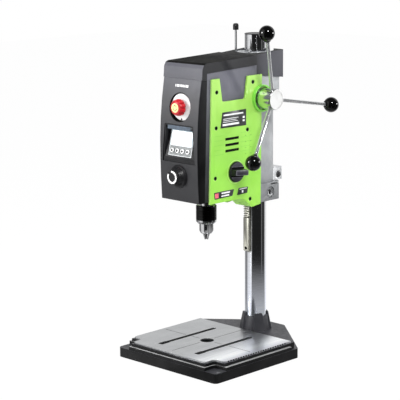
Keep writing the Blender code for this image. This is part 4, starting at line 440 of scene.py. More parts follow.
def copyFaces(node, v):
    bm = bmesh.new()
    bm.from_mesh(cad[node].data)
    bmesh.ops.remove_doubles(bm, verts=bm.verts[:], dist=v["weld"])
    bmesh.ops.dissolve_limit(bm, angle_limit=radians(v["flat"]), verts=bm.verts[:], edges=bm.edges[:])
    return bm


def linkPiece(name, bm, mat, body, sharp=35):
    bmesh.ops.recalc_face_normals(bm, faces=bm.faces[:])
    piece = linkMesh(name, bm)
    mesh = piece.data
    mesh.shade_smooth()
    mesh.set_sharp_from_angle(angle=radians(sharp))
    mesh.materials.append(finish[mat])
    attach(piece, body)
    return piece


def bodyOf(node):
    return cad[node]["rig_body"]


def soften(node, width, v):
    piece = linkPiece(node + "_soft", copyFaces(node, v), finishFor(node), bodyOf(node), v["sharp"])
    edge = piece.modifiers.new("edge", "BEVEL")
    edge.width = width
    edge.segments = v["segments"]
    edge.limit_method = "ANGLE"
    edge.angle_limit = radians(v["sharp"])
    edge.use_clamp_overlap = True
    edge.harden_normals = True
    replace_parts(piece, node)


for node, width in softWidths.items():
    soften(node, width, softValues)

# fixed places: the pinion's shaft, where the three levers meet on it, and the spindle

pinionPlace = (0, -0.0449155, 0.5393)
leverPlace = Vector((0.0875, *pinionPlace[1:]))
spindlePlace = (0, -0.1497, 0)

# faces painted with another finish, chosen by their normal n and their centre c: mostly painted light
# and shade

paintValues = {
    "steep": 0.7, "across": 0.5, "ledge": (0.026, 0.0285), "lug": (0.034, 0.40),
    "recess": (0.533, 0.0298), "recessFace": -0.2175, "recessDepth": 0.0003, "boss": (0.0284, 0.0572),
    # the limit of the normal, then those of the centre
    "topFront": (-0.6, -0.19), "deckFoot": (0.08, 0.034), "teeth": (0.2, 0.22, 0.58),
    "lip": (-0.8, -0.15),
}


def paintFaces(name, mat, test):
    mesh = bpy.data.objects[name].data
    mesh.materials.append(finish[mat])
    for face in mesh.polygons:
        if test(face.normal, face.center):
            face.material_index = len(mesh.materials) - 1


def paintCastings(v):
    steep = v["steep"]
    lean, limit = v["topFront"]
    # painted shade: the front cover's sides and underside in near-black
    paintFaces("front_cover_soft", "coverShadeBlack", lambda n, c: abs(n.x) > v["across"] or n.z < -steep)
    # the top cover's forward faces take the front cover's grey with its painted light and shade
    paintFaces("top_cover_soft", "coverGrey", lambda n, c: n.y < lean and c.y < limit)
    # the top cover's upward faces darker and matter, and lighter towards the rear by painted light
    paintFaces("top_cover_soft", "topBlack", lambda n, c: n.z > steep)
    rise, foot = v["deckFoot"]
    low, high = v["ledge"]
    # painted light: the base's upward faces, and the socket's faces above the deck, lighter than its
    # sides
    paintFaces("base_casting_soft", "deckLitIron", lambda n, c: n.z > steep)
    paintFaces("base_casting_soft", "deckLitIron", lambda n, c: n.z > rise and c.z > foot)
    # painted highlight: a light line on the flange's top ledge
    paintFaces("base_casting_soft", "ledgeHighlight", lambda n, c: n.z > steep and low < c.z < high)
    # painted shade: the floor and walls of the stop's recess in near-black
    height, radius = v["recess"]
    paintFaces("front_cover_soft", "ventDark",
               lambda n, c: hypot(c.x, c.z - height) < radius
               and (abs(n.y) < v["across"] or abs(c.y - v["recessFace"]) < v["recessDepth"]))
    # painted light: the head's rear lug paler than the casting round it
    front, top = v["lug"]
    paintFaces("head_casting_soft", "lugHighlight", lambda n, c: c.y > front and c.z < top)
    # the boss ring round the pinion in a deeper green, partly painted shade
    ring, foot = v["boss"]
    paintFaces("right_side_plate_soft", "bossShadeGreen",
               lambda n, c: c.x > foot and hypot(c.y - pinionPlace[1], c.z - pinionPlace[2]) < ring)
    # painted shade: the rack's upward tooth flanks in dark steel
    rise, low, high = v["teeth"]
    paintFaces("rack_soft", "darkSteel", lambda n, c: n.z > rise and low < c.z < high)
    # painted highlight: the side plates' front edges in light green
    lean, limit = v["lip"]
    for name in ("right_side_plate_soft", "left_side_plate_soft"):
        paintFaces(name, "greenHighlight", lambda n, c: n.y < lean and c.y < limit)


paintCastings(paintValues)

slopeValues = {"least": 0.0001, "front": -0.9, "side": 0.02, "clear": 0.0004}


def smoothSlope(name, v):
    # the front's facets shade as one curve: each corner gets the normal of its height
    piece = bpy.data.objects[name]
    solid = bpy.data.meshes.new_from_object(piece.evaluated_get(bpy.context.evaluated_depsgraph_get()))
    piece.modifiers.clear()
    piece.data = solid
    front = [face for face in solid.polygons
             if face.normal.y < v["front"] and abs(face.normal.x) < v["side"]
             and abs(face.center.y - paintValues["recessFace"]) > v["clear"]]
    levels = {round(face.normal.z, 3): face.center.z for face in front if face.area > v["least"]}
    slopes = sorted((height, slope) for slope, height in levels.items())
    normals = [Vector(corner.vector) for corner in solid.corner_normals]
    for face in front:
        for loop in face.loop_indices:
            height = solid.vertices[solid.loops[loop].vertex_index].co.z
            slope = slopes[0][1] if height < slopes[0][0] else slopes[-1][1]
            for (z0, s0), (z1, s1) in zip(slopes, slopes[1:]):
                if z0 <= height <= z1:
                    slope = s0 + (s1 - s0) * (height - z0) / (z1 - z0)
            normals[loop] = Vector((face.normal.x, -sqrt(1 - slope ** 2), slope)).normalized()
    solid.normals_split_custom_set(normals)


smoothSlope("front_cover_soft", slopeValues)
print("edges rounded and faces painted")

# ways to make a piece: turned, joined from rings, bent round an arc, pushed out of an outline


def spinProfile(profile, segments):
    # the profile holds radius and height
    bm = bmesh.new()
    verts = [bm.verts.new((r, 0, h)) for r, h in profile]
    edges = [bm.edges.new(pair) for pair in zip(verts, verts[1:])]
    if profile[0][0] > 0 or profile[-1][0] > 0:
        edges.append(bm.edges.new((verts[-1], verts[0])))
    bmesh.ops.spin(bm, geom=verts + edges, cent=(0, 0, 0), axis=(0, 0, 1), angle=2 * pi,
                   steps=segments, use_merge=True, use_duplicate=False)
    bmesh.ops.remove_doubles(bm, verts=bm.verts[:], dist=0.000004)
    return bm


def aimPiece(bm, direction, place):
    turn = Vector((0, 0, 1)).rotation_difference(Vector(direction)).to_matrix().to_4x4()
    bmesh.ops.transform(bm, matrix=Matrix.Translation(place) @ turn, verts=bm.verts[:])
    return bm


def roundProfile(profile, radius, steps=3):
    # profile corners become small arcs, apart from the two ends
    out = [profile[0]]
    for before, here, after in zip(profile, profile[1:], profile[2:]):
        a, b, c = Vector(before), Vector(here), Vector(after)
        r = min(radius, (a - b).length * 0.45, (c - b).length * 0.45)
        start, end = b + (a - b).normalized() * r, b + (c - b).normalized() * r
        for step in range(steps + 1):
            t = step / steps
            out.append(tuple(start * (1 - t) ** 2 + b * 2 * t * (1 - t) + end * t ** 2))
    return out + [profile[-1]]


def turned(name, profile, mat, body, direction=(0, 0, 1), place=(0, 0, 0), segments=64,
           edge=0.0004, sharp=50):
    bm = spinProfile(roundProfile(profile, edge), segments)
    return linkPiece(name, aimPiece(bm, direction, place), mat, body, sharp)


def joinRings(rings, closed=False):
    # each ring is bridged to the next, and the last to the first where the form is closed
    bm = bmesh.new()
    loops = []
    for ring in rings:
        verts = [bm.verts.new(place) for place in ring]
        loops.append([bm.edges.new(pair) for pair in zip(verts, verts[1:] + verts[:1])])
    for lower, upper in zip(loops, loops[1:] + (loops[:1] if closed else [])):
        bmesh.ops.bridge_loops(bm, edges=lower + upper)
    bmesh.ops.holes_fill(bm, edges=bm.edges[:])
    return bm


def arcPiece(name, radii, reach, angles, centre, mat, body="head", axis="x", steps=30):
    # a flat ring segment round a forward axis (y) or a sideways axis (x)
    bm = bmesh.new()
    start, end = (radians(angle) for angle in angles)
    verts = []
    for radius, depth in zip((radii[0], *radii, radii[1]), (*reach, *reversed(reach))):
        a, b = centre[0] + radius * cos(start), centre[1] + radius * sin(start)
        verts.append(bm.verts.new((a, -depth, b) if axis == "y" else (depth, a, b)))
    edges = [bm.edges.new(pair) for pair in zip(verts, verts[1:] + verts[:1])]
    middle = (centre[0], 0, centre[1]) if axis == "y" else (0, *centre)
    bmesh.ops.spin(bm, geom=verts + edges, cent=middle, axis=(0, -1, 0) if axis == "y" else (1, 0, 0),
                   angle=end - start, steps=steps, use_duplicate=False)
    bmesh.ops.holes_fill(bm, edges=bm.edges[:])
    return linkPiece(name, bm, mat, body)


def bevelAll(bm, width):
    bmesh.ops.recalc_face_normals(bm, faces=bm.faces[:])
    bmesh.ops.bevel(bm, geom=bm.edges[:], offset=width, affect="EDGES", segments=2, profile=0.5,
                    material=-1)


def prism(name, corners, push, mat, body="head", bevel=0.0):
    bm = bmesh.new()
    foot = bm.faces.new([bm.verts.new(corner) for corner in corners])
    moved = bmesh.ops.extrude_face_region(bm, geom=[foot])["geom"]
    verts = [part for part in moved if isinstance(part, bmesh.types.BMVert)]
    bmesh.ops.translate(bm, vec=push, verts=verts)
    if bevel:
        bevelAll(bm, bevel)
    return linkPiece(name, bm, mat, body)


def slab(name, outline, low, high, mat, body="head", axis="x", bevel=0.0):
    # outline in (y, z) for axis x, in (x, z) for y, and in (x, y) for z
    place = "xyz".index(axis)
    corners = [(*pair[:place], low, *pair[place:]) for pair in outline]
    push = [high - low if k == place else 0 for k in range(3)]
    return prism(name, corners, push, mat, body, bevel)


def bar(a0, a1, b0, b1):
    return [(a0, b0), (a1, b0), (a1, b1), (a0, b1)]


# feed handle

handleValues = {
    "first": -8.88, "cone": 12.3, "reach": 0.1488, "rod": 0.004, "rodFoot": 0.0104, "rodSink": 0.004,
    "ballRadius": 0.0161, "ballSteps": 22, "ballSink": 0.0015, "face": (0.9, 0.098),
    # radius and height from the ball's foot
    "neck": ((0.0062, 0.0005), (0.0057, 0), (0.0043, 0), (0.0043, 0.006), (0, 0.006)),
    "nut": ((0.0043, 0.0203), (0.0066, 0.0203), (0.0066, 0.0226), (0.0060, 0.0233), (0.0043, 0.0233)),
    "hub": ((0.0083, 0.0967), (0.0083, 0.0615), (0.0200, 0.0615), (0.0213, 0.0628), (0.0213, 0.0640),
            (0.0208, 0.0645), (0.0208, 0.0652), (0.0213, 0.0657), (0.0213, 0.0974), (0.0204, 0.0980),
            (0.0208, 0.0984), (0.0208, 0.0988), (0.0203, 0.0993), (0.0176, 0.0993), (0.0172, 0.0990),
            (0, 0.0990), (0, 0.0967)),
}


def leverDirection(index, v):
    angle = radians(v["first"] + 120 * index)
    cone = radians(v["cone"])
    return Vector((sin(cone), cos(cone) * cos(angle), cos(cone) * sin(angle)))


def makeHandle(v):
    length = v["reach"] / cos(radians(v["cone"]))
    end = length - v["rodSink"]
    radius = v["ballRadius"]
    foot = length - radius - v["ballSink"]
    last = pi - asin(v["neck"][0][0] / radius)
    angles = [last * step / v["ballSteps"] for step in range(v["ballSteps"] + 1)]
    ballProfile = [(radius * sin(angle), length + radius * cos(angle)) for angle in angles]
    ballProfile += [(r, foot + h) for r, h in v["neck"]]
    rodProfile = [(0, v["rodFoot"]), (v["rod"], v["rodFoot"]), (v["rod"], end), (0, end)]
    for index in range(3):
        name = str(index + 1)
        direction = leverDirection(index, v)
        rod = turned("leverRod_" + name, rodProfile, "chromeRod", "handle", direction, leverPlace,
                     segments=40, edge=0.0003)
        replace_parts(rod, "lever_" + name)
        bm = aimPiece(spinProfile(ballProfile, 56), direction, leverPlace)
        ball = linkPiece("leverBall_" + name, bm, "glossBlack", "handle", 40)
        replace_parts(ball, "lever_ball_" + name)
    hub = turned("leverHubTurned", v["hub"], "chromeHub", "handle", (1, 0, 0), pinionPlace,
                 segments=96, edge=0.0003, sharp=40)
    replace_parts(hub, "lever_hub")
    # painted reflection: the hub's end face in pale matt grey
    slope, low = v["face"]
    paintFaces("leverHubTurned", "hubFaceReflection", lambda n, c: n.x > slope and c.x > low)
    for index in range(3):
        turned(f"leverNut_{index + 1}", v["nut"], "chromeHub", "handle", leverDirection(index, v),
               leverPlace, segments=40, edge=0.0003)


makeHandle(handleValues)
print("handle made")

# column with its flat behind the rack, and its cap

columnValues = {
    "radius": 0.023, "inner": 0.020, "flat": -0.0216, "flatSpan": (0.2038, 0.5892), "segments": 144,
    "heights": (0.0063, 0.2035, 0.2041, 0.5889, 0.5895, 0.664),
    "cap": ((0, 0.655), (0.0197, 0.655), (0.0197, 0.6643), (0.023, 0.6643), (0.023, 0.6652),
            (0.0222, 0.6658), (0.0165, 0.6658), (0.0160, 0.6653), (0, 0.6653)),
}


def makeColumn(v):
    profile = [(v["radius"], h) for h in v["heights"]]
    profile += [(v["inner"], h) for h in reversed(v["heights"])]
    bm = spinProfile(profile, v["segments"])
    low, high = v["flatSpan"]
    for vert in bm.verts:
        if low < vert.co.z < high:
            vert.co.y = max(vert.co.y, v["flat"])
    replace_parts(linkPiece("columnTubeTurned", bm, "chrome", "base", 40), "column_tube")
    cap = turned("columnCapTurned", v["cap"], "darkPlastic", "base", segments=96)
    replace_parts(cap, "column_cap")


makeColumn(columnValues)
print("column made")

# chuck: toothed band, dark sleeve, bright nose with jaws

chuckValues = {
    "teeth": 24, "perTooth": 8, "toothDepth": 0.0012, "bandTop": 0.2945,
    # height, radius, and whether the teeth are cut there
    "levels": ((0.2867, 0.0178, True), (0.2908, 0.0213, True), (0.2914, 0.0213, False),
               (0.2945, 0.0213, False), (0.2949, 0.0208, False), (0.2955, 0.0208, False),
               (0.2959, 0.0213, False), (0.3130, 0.0213, False), (0.3134, 0.0210, False),
               (0.3140, 0.0210, False), (0.3144, 0.0213, False), (0.3228, 0.0213, False),
               (0.3236, 0.0210, False), (0.3240, 0.0203, False), (0.3240, 0.0193, False),
               (0.2909, 0.0193, False), (0.2867, 0.0151, False)),
    "jawTip": 0.262, "jawShare": 0.60,
}


def makeChuck(v):
    count = v["teeth"] * v["perTooth"]
    rings = []
    for height, radius, cut in v["levels"]:
        ring = []
        for step in range(count):
            angle = 2 * pi * (step + 0.5) / count
            low = cut and step % v["perTooth"] >= v["perTooth"] / 2
            reach = radius - (v["toothDepth"] if low else 0)
            ring.append((reach * cos(angle), spindlePlace[1] + reach * sin(angle), height))
        rings.append(ring)
    sleeve = linkPiece("chuckSleeveToothed", joinRings(rings, closed=True), "chuckSleeve", "sleeve", 30)
    paintFaces("chuckSleeveToothed", "chuckSteel", lambda n, c: c.z < v["bandTop"])
    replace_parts(sleeve, "chuck_sleeve")


def makeJaws(v):
    for index in range(3):
        node = f"chuck_jaw_{index + 1}"
        bm = copyFaces(node, softValues)
        for vert in bm.verts:
            if vert.co.z < v["jawTip"]:
                vert.co.x = spindlePlace[0] + (vert.co.x - spindlePlace[0]) * v["jawShare"]
                vert.co.y = spindlePlace[1] + (vert.co.y - spindlePlace[1]) * v["jawShare"]
        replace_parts(linkPiece(f"jawTapered_{index + 1}", bm, "chuckSteel", bodyOf(node)), node)


makeChuck(chuckValues)
makeJaws(chuckValues)
print("chuck made")

# speed knob and its open ring

speedValues = {
    "height": 0.3945, "back": 0.2289, "foot": 0.1953, "stem": 0.003, "ring": (0.0092, 0.0130),
    "ringReach": (0.0186, 0.01885), "gap": (150, 460),
    # radius and reach from the back
    "rows": ((0.023, 0), (0.023, 0.0012), (0.0222, 0.0022), (0.0200, 0.0034), (0.0172, 0.0090),
             (0.0152, 0.0120), (0.0146, 0.0172), (0.0138, 0.0184), (0.0128, 0.0187), (0, 0.0187)),
}


def makeSpeedKnob(v):
    back = v["back"]
    profile = [(0, v["foot"]), (v["stem"], v["foot"]), (v["stem"], back)]
    profile += [(r, back + h) for r, h in v["rows"]]
    knob = turned("speedKnobTurned", profile, "darkPlastic", "speed", (0, -1, 0), (0, 0, v["height"]),
                  segments=72, edge=0.0008, sharp=60)
    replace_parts(knob, "speed_knob")
    arcPiece("speedRing", v["ring"], [back + h for h in v["ringReach"]], v["gap"], (0, v["height"]),
             "white", "speed", "y", steps=72)


makeSpeedKnob(speedValues)
print("speed knob made")

# emergency stop: fluted button with a pale disc, in front of a white plate in a dark recess

stopValues = {
    "height": 0.533, "face": 0.2375, "flutes": 10, "count": 160, "disc": 0.0094, "plateBore": 0.0100,
    # reach, radius, and how deep the flutes are
    "rows": ((0.2058, 0.0088, 0), (0.2229, 0.0088, 0), (0.2229, 0.0156, 0.0012),
             (0.2233, 0.0166, 0.0022), (0.2245, 0.0170, 0.0026), (0.2290, 0.0167, 0.0026),
             (0.2330, 0.0157, 0.0020), (0.2356, 0.0142, 0.0012), (0.2370, 0.0130, 0.0004),
             (0.2375, 0.0120, 0), (0.2375, 0.0108, 0), (0.2370, 0.0104, 0)),
    "switch": ((0.0, 0.1905), (0.0150, 0.1905), (0.0150, 0.2177), (0.0268, 0.2177), (0.0268, 0.2184),
               (0.0266, 0.2186), (0.0098, 0.2186), (0.0098, 0.1990), (0.0, 0.1990)),
    "plateFace": -0.2176, "mark": ((-0.0024, -0.0262), (0.0024, -0.0262), (0, -0.0215)),
    "markReach": (-0.2189, -0.2185), "discReach": (-0.0004, 0.0003), "arrowReach": (0.0003, 0.0004),
    # the arrows' radii and angles, and the angle and radius of each corner of their tips
    "arrow": (0.0042, 0.0058), "arrowStart": 20, "arrowSweep": 75,
    "tip": ((96, 0.0050), (72, 0.0030), (72, 0.0070)),
}


def makeStop(v):
    high, face = v["height"], v["face"]
    place = (0, 0, high)
    switch = turned("stopSwitchTurned", v["switch"], "darkPlastic", "head", (0, -1, 0), place,
                    segments=96, edge=0.0001)
    paintFaces("stopSwitchTurned", "white",
               lambda n, c: c.y < v["plateFace"] and hypot(c.x, c.z - high) > v["plateBore"])
    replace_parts(switch, "stop_switch")
    slab("stopMark", [(x, high + z) for x, z in v["mark"]], *v["markReach"], "darkPlastic", axis="y")
    rings = []
    for reach, radius, flute in v["rows"]:
        ring = []
        for step in range(v["count"]):
            angle = 2 * pi * step / v["count"]
            deep = radius - flute * max(0, cos(v["flutes"] * angle)) ** 3
            ring.append((deep * cos(angle), -reach, high + deep * sin(angle)))
        rings.append(ring)
    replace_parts(linkPiece("stopButtonFluted", joinRings(rings), "red", "stop_knob", 40), "stop_button")
    low, top = (face + h for h in v["discReach"])
    turned("stopDisc", [(0, low), (v["disc"], low), (v["disc"], top), (0, top)], "yellow",
           "stop_knob", (0, -1, 0), place, segments=48, edge=0.0001)
    low, top = (face + h for h in v["arrowReach"])
    for index in range(3):
        start = v["arrowStart"] + 120 * index
        arcPiece(f"stopArrow_{index + 1}", v["arrow"], (low, top), (start, start + v["arrowSweep"]),
                 (0, high), "markBrown", "stop_knob", "y", steps=16)
        turns = [(radians(start + angle), radius) for angle, radius in v["tip"]]
        corners = [(radius * cos(turn), high + radius * sin(turn)) for turn, radius in turns]
        slab(f"stopArrowTip_{index + 1}", corners, -top, -low, "markBrown", "stop_knob", "y")


makeStop(stopValues)
print("emergency stop made")

# a row of plain pale bars high on the front, laid on its slope

barValues = {"foot": (0.5730, -0.21789), "rise": (0.5780, -0.21708), "count": 9, "pitch": 0.0042,
             "wide": 0.0028, "narrowShare": 0.6, "lift": 0.00012}


def makeFrontBars(v):
    (z0, y0), (z1, y1) = v["foot"], v["rise"]
    for index in range(v["count"]):
        middle = v["pitch"] * (index - (v["count"] - 1) / 2)
        half = v["wide"] / 2 * (1 if index % 3 else v["narrowShare"])
        corners = [(middle - half, y0 - v["lift"], z0), (middle + half, y0 - v["lift"], z0),
                   (middle + half, y1 - v["lift"], z1), (middle - half, y1 - v["lift"], z1)]
        prism(f"frontBar_{index + 1}", corners, (0, 2 * v["lift"], 0), "white")


makeFrontBars(barValues)

# labels on the right plate: dark plates with plain bars, all in (y, z)

labelValues = {
    "face": 0.0571, "sink": 0.0001, "thick": 0.0003, "lift": 0.00008, "bevel": 0.0001,
    "rows": (
        ("labelUpper", "labelDark",
         [(-0.1665, 0.4896), (-0.091, 0.4885), (-0.091, 0.522), (-0.161, 0.521)]),
        ("labelBar_1", "labelPale", bar(-0.1575, -0.1000, 0.5135, 0.5165)),
        ("labelBar_2", "labelPale", bar(-0.1585, -0.1140, 0.5068, 0.5080)),
        ("labelBar_3", "labelPale", bar(-0.1590, -0.1200, 0.5036, 0.5046)),
        ("labelBar_4", "labelPale", bar(-0.1595, -0.1160, 0.5004, 0.5014)),
        ("labelBar_5", "labelPale", bar(-0.1605, -0.1120, 0.4935, 0.4975)),
        ("labelBar_6", "labelPale", bar(-0.1015, -0.0955, 0.5040, 0.5080)),
        ("labelBar_7", "labelPale", bar(-0.1015, -0.0955, 0.4975, 0.5010)),
        ("labelLowerFront", "labelDark",
         [(-0.1843, 0.3473), (-0.1322, 0.3482), (-0.1274, 0.3614), (-0.1857, 0.3614)]),
        ("labelLowerMark", "labelRed",
         [(-0.1825, 0.3495), (-0.1735, 0.3497), (-0.1730, 0.3592), (-0.1835, 0.3592)]),
        ("labelLowerBar_1", "labelPale", bar(-0.1640, -0.1400, 0.3560, 0.3590)),
        ("labelLowerBar_2", "labelPale", bar(-0.1650, -0.1420, 0.3505, 0.3530)),
        ("labelLowerRear", "labelDark",
         [(-0.1185, 0.3473), (-0.0882, 0.3482), (-0.0855, 0.3607), (-0.1137, 0.3616)]),
        ("labelRearBar", "labelPale", bar(-0.1110, -0.0900, 0.3580, 0.3595)),
        ("labelRearMark", "labelPale", bar(-0.1045, -0.1000, 0.3505, 0.3560)),
    ),
}


def makeLabels(v):
    top = v["face"] + v["thick"]
    for name, mat, outline in v["rows"]:
        if mat == "labelDark":
            slab(name, outline, v["face"] - v["sink"], top, mat, bevel=v["bevel"])
        else:
            slab(name, outline, top - v["sink"], top + v["lift"], mat)


makeLabels(labelValues)

# vents with dark sheets behind and in them as painted shade, and fine grooves on both side plates

ventValues = {
    "rows": (0.466, 0.454, 0.442), "front": -0.1517, "rear": -0.1134, "face": 0.0570, "inner": 0.05325,
    # how far the dark slabs of painted shade reach past a slot along and across it, and how thick they
    # are
    "shade": (0.0010, 0.0030, 0.00012), "fill": (0.0006, 0.0026, 0.00010),
    "grooves": 5, "grooveTop": 0.4745, "groovePitch": 0.0095, "grooveWide": 0.0005,
    "grooveThick": 0.00006,
    "grooveFront": (-0.1830, -0.1575), "grooveLean": 0.0006, "grooveRear": (-0.1075, -0.0760),
    "dots": 4, "dotTop": 0.467, "dotPitch": 0.0125, "dotPlaces": (("a", -0.0935), ("b", -0.0780)),
    "dotSize": (0.0022, 0.001),
}


def makeVents(v):
    for side, name in ((1, "Right"), (-1, "Left")):
        face, inner = side * v["face"], side * v["inner"]
        for index, z in enumerate(v["rows"]):
            row = f"{name}_{index + 1}"
            # painted shade: a dark sheet behind each slot and another just inside it
            for label, start, turn, (along, across, thick) in (("ventShade", inner, -side, v["shade"]),
                                                               ("ventFill", face, side, v["fill"])):
                slab(label + row, bar(v["front"] - along, v["rear"] + along, z - across, z + across),
                     *sorted((start, start + turn * thick)), "ventDark")
        reach = sorted((face, face + side * v["grooveThick"]))
        for index in range(v["grooves"]):
            z = v["grooveTop"] - v["groovePitch"] * index
            front, end = v["grooveFront"]
            for label, y0, y1 in (("grooveFront", front - v["grooveLean"] * index, end),
                                  ("grooveRear", *v["grooveRear"])):
                slab(f"{label}{name}_{index + 1}", bar(y0, y1, z, z + v["grooveWide"]), *reach,
                     "greenGroove")
        for index in range(v["dots"]):
            z = v["dotTop"] - v["dotPitch"] * index
            for letter, y in v["dotPlaces"]:
                slab(f"grooveDot{name}_{index + 1}{letter}",
                     bar(y, y + v["dotSize"][0], z, z + v["dotSize"][1]), *reach, "greenDeep")


makeVents(ventValues)
print("labels and vents made")

# selector knob: disc with a dark channel of painted shade, a grip across it with painted light on its
# face and edges, and a painted highlight ring on the plate round it

selectorValues = {
    "centre": (-0.1228, 0.3964), "tilt": -5, "face": 0.0630,
    "disc": ((0, 0.0538), (0.0100, 0.0538), (0.0100, 0.0576), (0.0206, 0.0576), (0.0215, 0.0586),
             (0.0213, 0.0614), (0.0200, 0.0630), (0, 0.0630)),
    # the grip's reach, half length and half height at its foot and at its top
    "grip": ((0.0620, 0.0193, 0.0066), (0.0772, 0.0181, 0.0054)), "gripBevel": 0.0011,
    "channel": 0.0104, "channelHalf": 0.0185, "channelReach": (-0.0004, 0.0001),
    "line": 0.0009, "lineRadius": 0.0198, "lineReach": (-0.0004, 0.0003),
    "halo": ((0.0226, 0.0569), (0.0240, 0.0569), (0.0240, 0.05725), (0.0226, 0.05725)),
    # how far a face looks outwards where it is painted: the disc, the grip's face and its edges
    "discOut": 0.8, "faceOut": 0.97, "edgeOut": 0.3,
}


def makeSelector(v):
    cy, cz = v["centre"]
    place = (0, cy, cz)
    tilt = radians(v["tilt"])

    def onDisc(a0, a1, b0, b1):
        # the corners of a bar, turned with the grip
        return [(cy + a * cos(tilt) - b * sin(tilt), cz + a * sin(tilt) + b * cos(tilt))
                for a, b in bar(a0, a1, b0, b1)]

    disc = turned("selectorDisc", v["disc"], "darkPlastic", "selector", (1, 0, 0), place, segments=96)
    # painted light: the disc's outward face paler
    paintFaces("selectorDisc", "knobLitFace", lambda n, c: n.x > v["discOut"])
    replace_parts(disc, "selector_knob")
    bm = joinRings([[(x, *corner) for corner in onDisc(-half, half, -high, high)]
                    for x, half, high in v["grip"]])
    bevelAll(bm, v["gripBevel"])
    linkPiece("selectorGrip", bm, "darkPlastic", "selector", 60)
    # painted light on the grip's outward face and painted highlight on its edges
    paintFaces("selectorGrip", "knobLitFace", lambda n, c: n.x > v["faceOut"])
    paintFaces("selectorGrip", "knobEdge", lambda n, c: v["edgeOut"] < n.x < v["faceOut"])
    # painted shade: a dark channel across the disc, with painted highlight lines along its edges
    edge, half = v["channel"], v["channelHalf"]
    slab("selectorChannel", onDisc(-half, half, -edge, edge),
         *(v["face"] + h for h in v["channelReach"]), "ventDark", "selector")
    wide = sqrt(v["lineRadius"] ** 2 - edge ** 2)
    for side, name in ((1, "Upper"), (-1, "Lower")):
        slab("selectorLine" + name, onDisc(-wide, wide, side * edge, side * (edge + v["line"])),
             *(v["face"] + h for h in v["lineReach"]), "knobEdge", "selector")
    # painted highlight: a light green ring on the plate round the knob
    turned("selectorHalo", v["halo"], "greenHighlight", "head", (1, 0, 0), place, segments=96, edge=0.0001)


makeSelector(selectorValues)

# painted shade and painted highlight round the plates' screws, and round the bores of the lock screw and
# the clamp screw

screwValues = {
    "places": ((-0.0792, 0.3345), (-0.1766, 0.5629), (-0.1787, 0.4913), (-0.1818, 0.3901),
               (-0.0706, 0.5745), (-0.0870, 0.4790)),
    "rightOnly": 5, "reach": (0.0569, 0.05715), "hole": 0.0033, "rim": 0.0044, "glint": 0.0051,
    "rimAngles": (0, 359.9), "glintAngles": (190, 330),
}
rimValues = {"lock": ((-0.001, 0.3355), (0.0060, 0.0070), 0.0430),
             "clamp": ((0.0445, 0.365), (0.0076, 0.0084), 0.0245),
             "half": 0.0001, "highlightAngles": (150, 330), "shadeAngles": (-30, 150)}


def makeScrewRims(v):
    for index, place in enumerate(v["places"]):
        for side, name in ((1, "Right"), (-1, "Left")):
            if side < 0 and index == v["rightOnly"]:  # this screw is not in the left plate
                continue
            reach = [side * x for x in v["reach"]]
            label = f"{name}_{index + 1}"
            # painted shade: a dark ring round each screw's hole, and a painted glint under it
            arcPiece("screwShade" + label, (v["hole"], v["rim"]), reach, v["rimAngles"], place,
                     "greenDeep", steps=40)
            arcPiece("screwGlint" + label, (v["rim"], v["glint"]), reach, v["glintAngles"], place,
                     "greenHighlight", steps=24)


def makeBoreRims(v):
    for name in ("lock", "clamp"):
        centre, radii, face = v[name]
        reach = (face - v["half"], face + v["half"])
        # painted highlight on one half of each bore's rim and painted shade on the other
        arcPiece(name + "Rim", radii, reach, v["highlightAngles"], centre, "labelPale")
        arcPiece(name + "Shade", radii, reach, v["shadeAngles"], centre, "groove")


makeScrewRims(screwValues)
makeBoreRims(rimValues)
print("selector and screw rims made")

# table: engraved lines, dark dashes on the plate's right edge, painted shade along both slots' edges

tableValues = {
    "top": 0.0365, "sink": 0.0001, "lift": 0.00005, "half": 0.00075,
    "across": ((-0.122, -0.0625), (-0.0435, -0.021), (0.021, 0.0435), (0.0625, 0.122)),
    "along": ((-0.252, -0.171), (-0.128, -0.045)),
    "side": 0.1314, "first": -0.226, "pitch": 0.0074, "dashes": 24, "dashShare": 0.55,
    "dashDrop": (0.0027, 0.0004),
    "slots": (("Right", 0.0525), ("Left", -0.0525)), "slotEnds": (-0.2350, -0.0730),
    "slotShadeOffsets": (-0.0049, 0.0027), "slotShadeWide": 0.0022,
}


def makeTableMarks(v):
    reach = (v["top"] - v["sink"], v["top"] + v["lift"])
    half, middle = v["half"], spindlePlace[1]
    for index, (x0, x1) in enumerate(v["across"]):
        slab(f"tableLineAcross_{index + 1}", bar(x0, x1, middle - half, middle + half), *reach,
             "groove", "base", "z")
    for index, (y0, y1) in enumerate(v["along"]):
        slab(f"tableLineAlong_{index + 1}", bar(-half, half, y0, y1), *reach, "groove", "base", "z")
    for index in range(v["dashes"]):
        y = v["first"] + v["pitch"] * index
        low, high = (v["top"] - drop for drop in v["dashDrop"])
        slab(f"tableDash_{index + 1}", bar(y, y + v["pitch"] * v["dashShare"], low, high),
             v["side"] - v["sink"], v["side"] + v["sink"], "ventDark", "base")
    # painted shade: dark strips along the edges of both slots
    for name, x in v["slots"]:
        for index, offset in enumerate(v["slotShadeOffsets"]):
            outline = bar(x + offset, x + offset + v["slotShadeWide"], *v["slotEnds"])
            slab(f"slotShade{name}_{index + 1}", outline, *reach, "ventDark", "base", "z")


makeTableMarks(tableValues)

# display: plates under the screen and the buttons, pale frame lines, a dark blue sheet above as painted
# shade and reflection of the recess, button caps

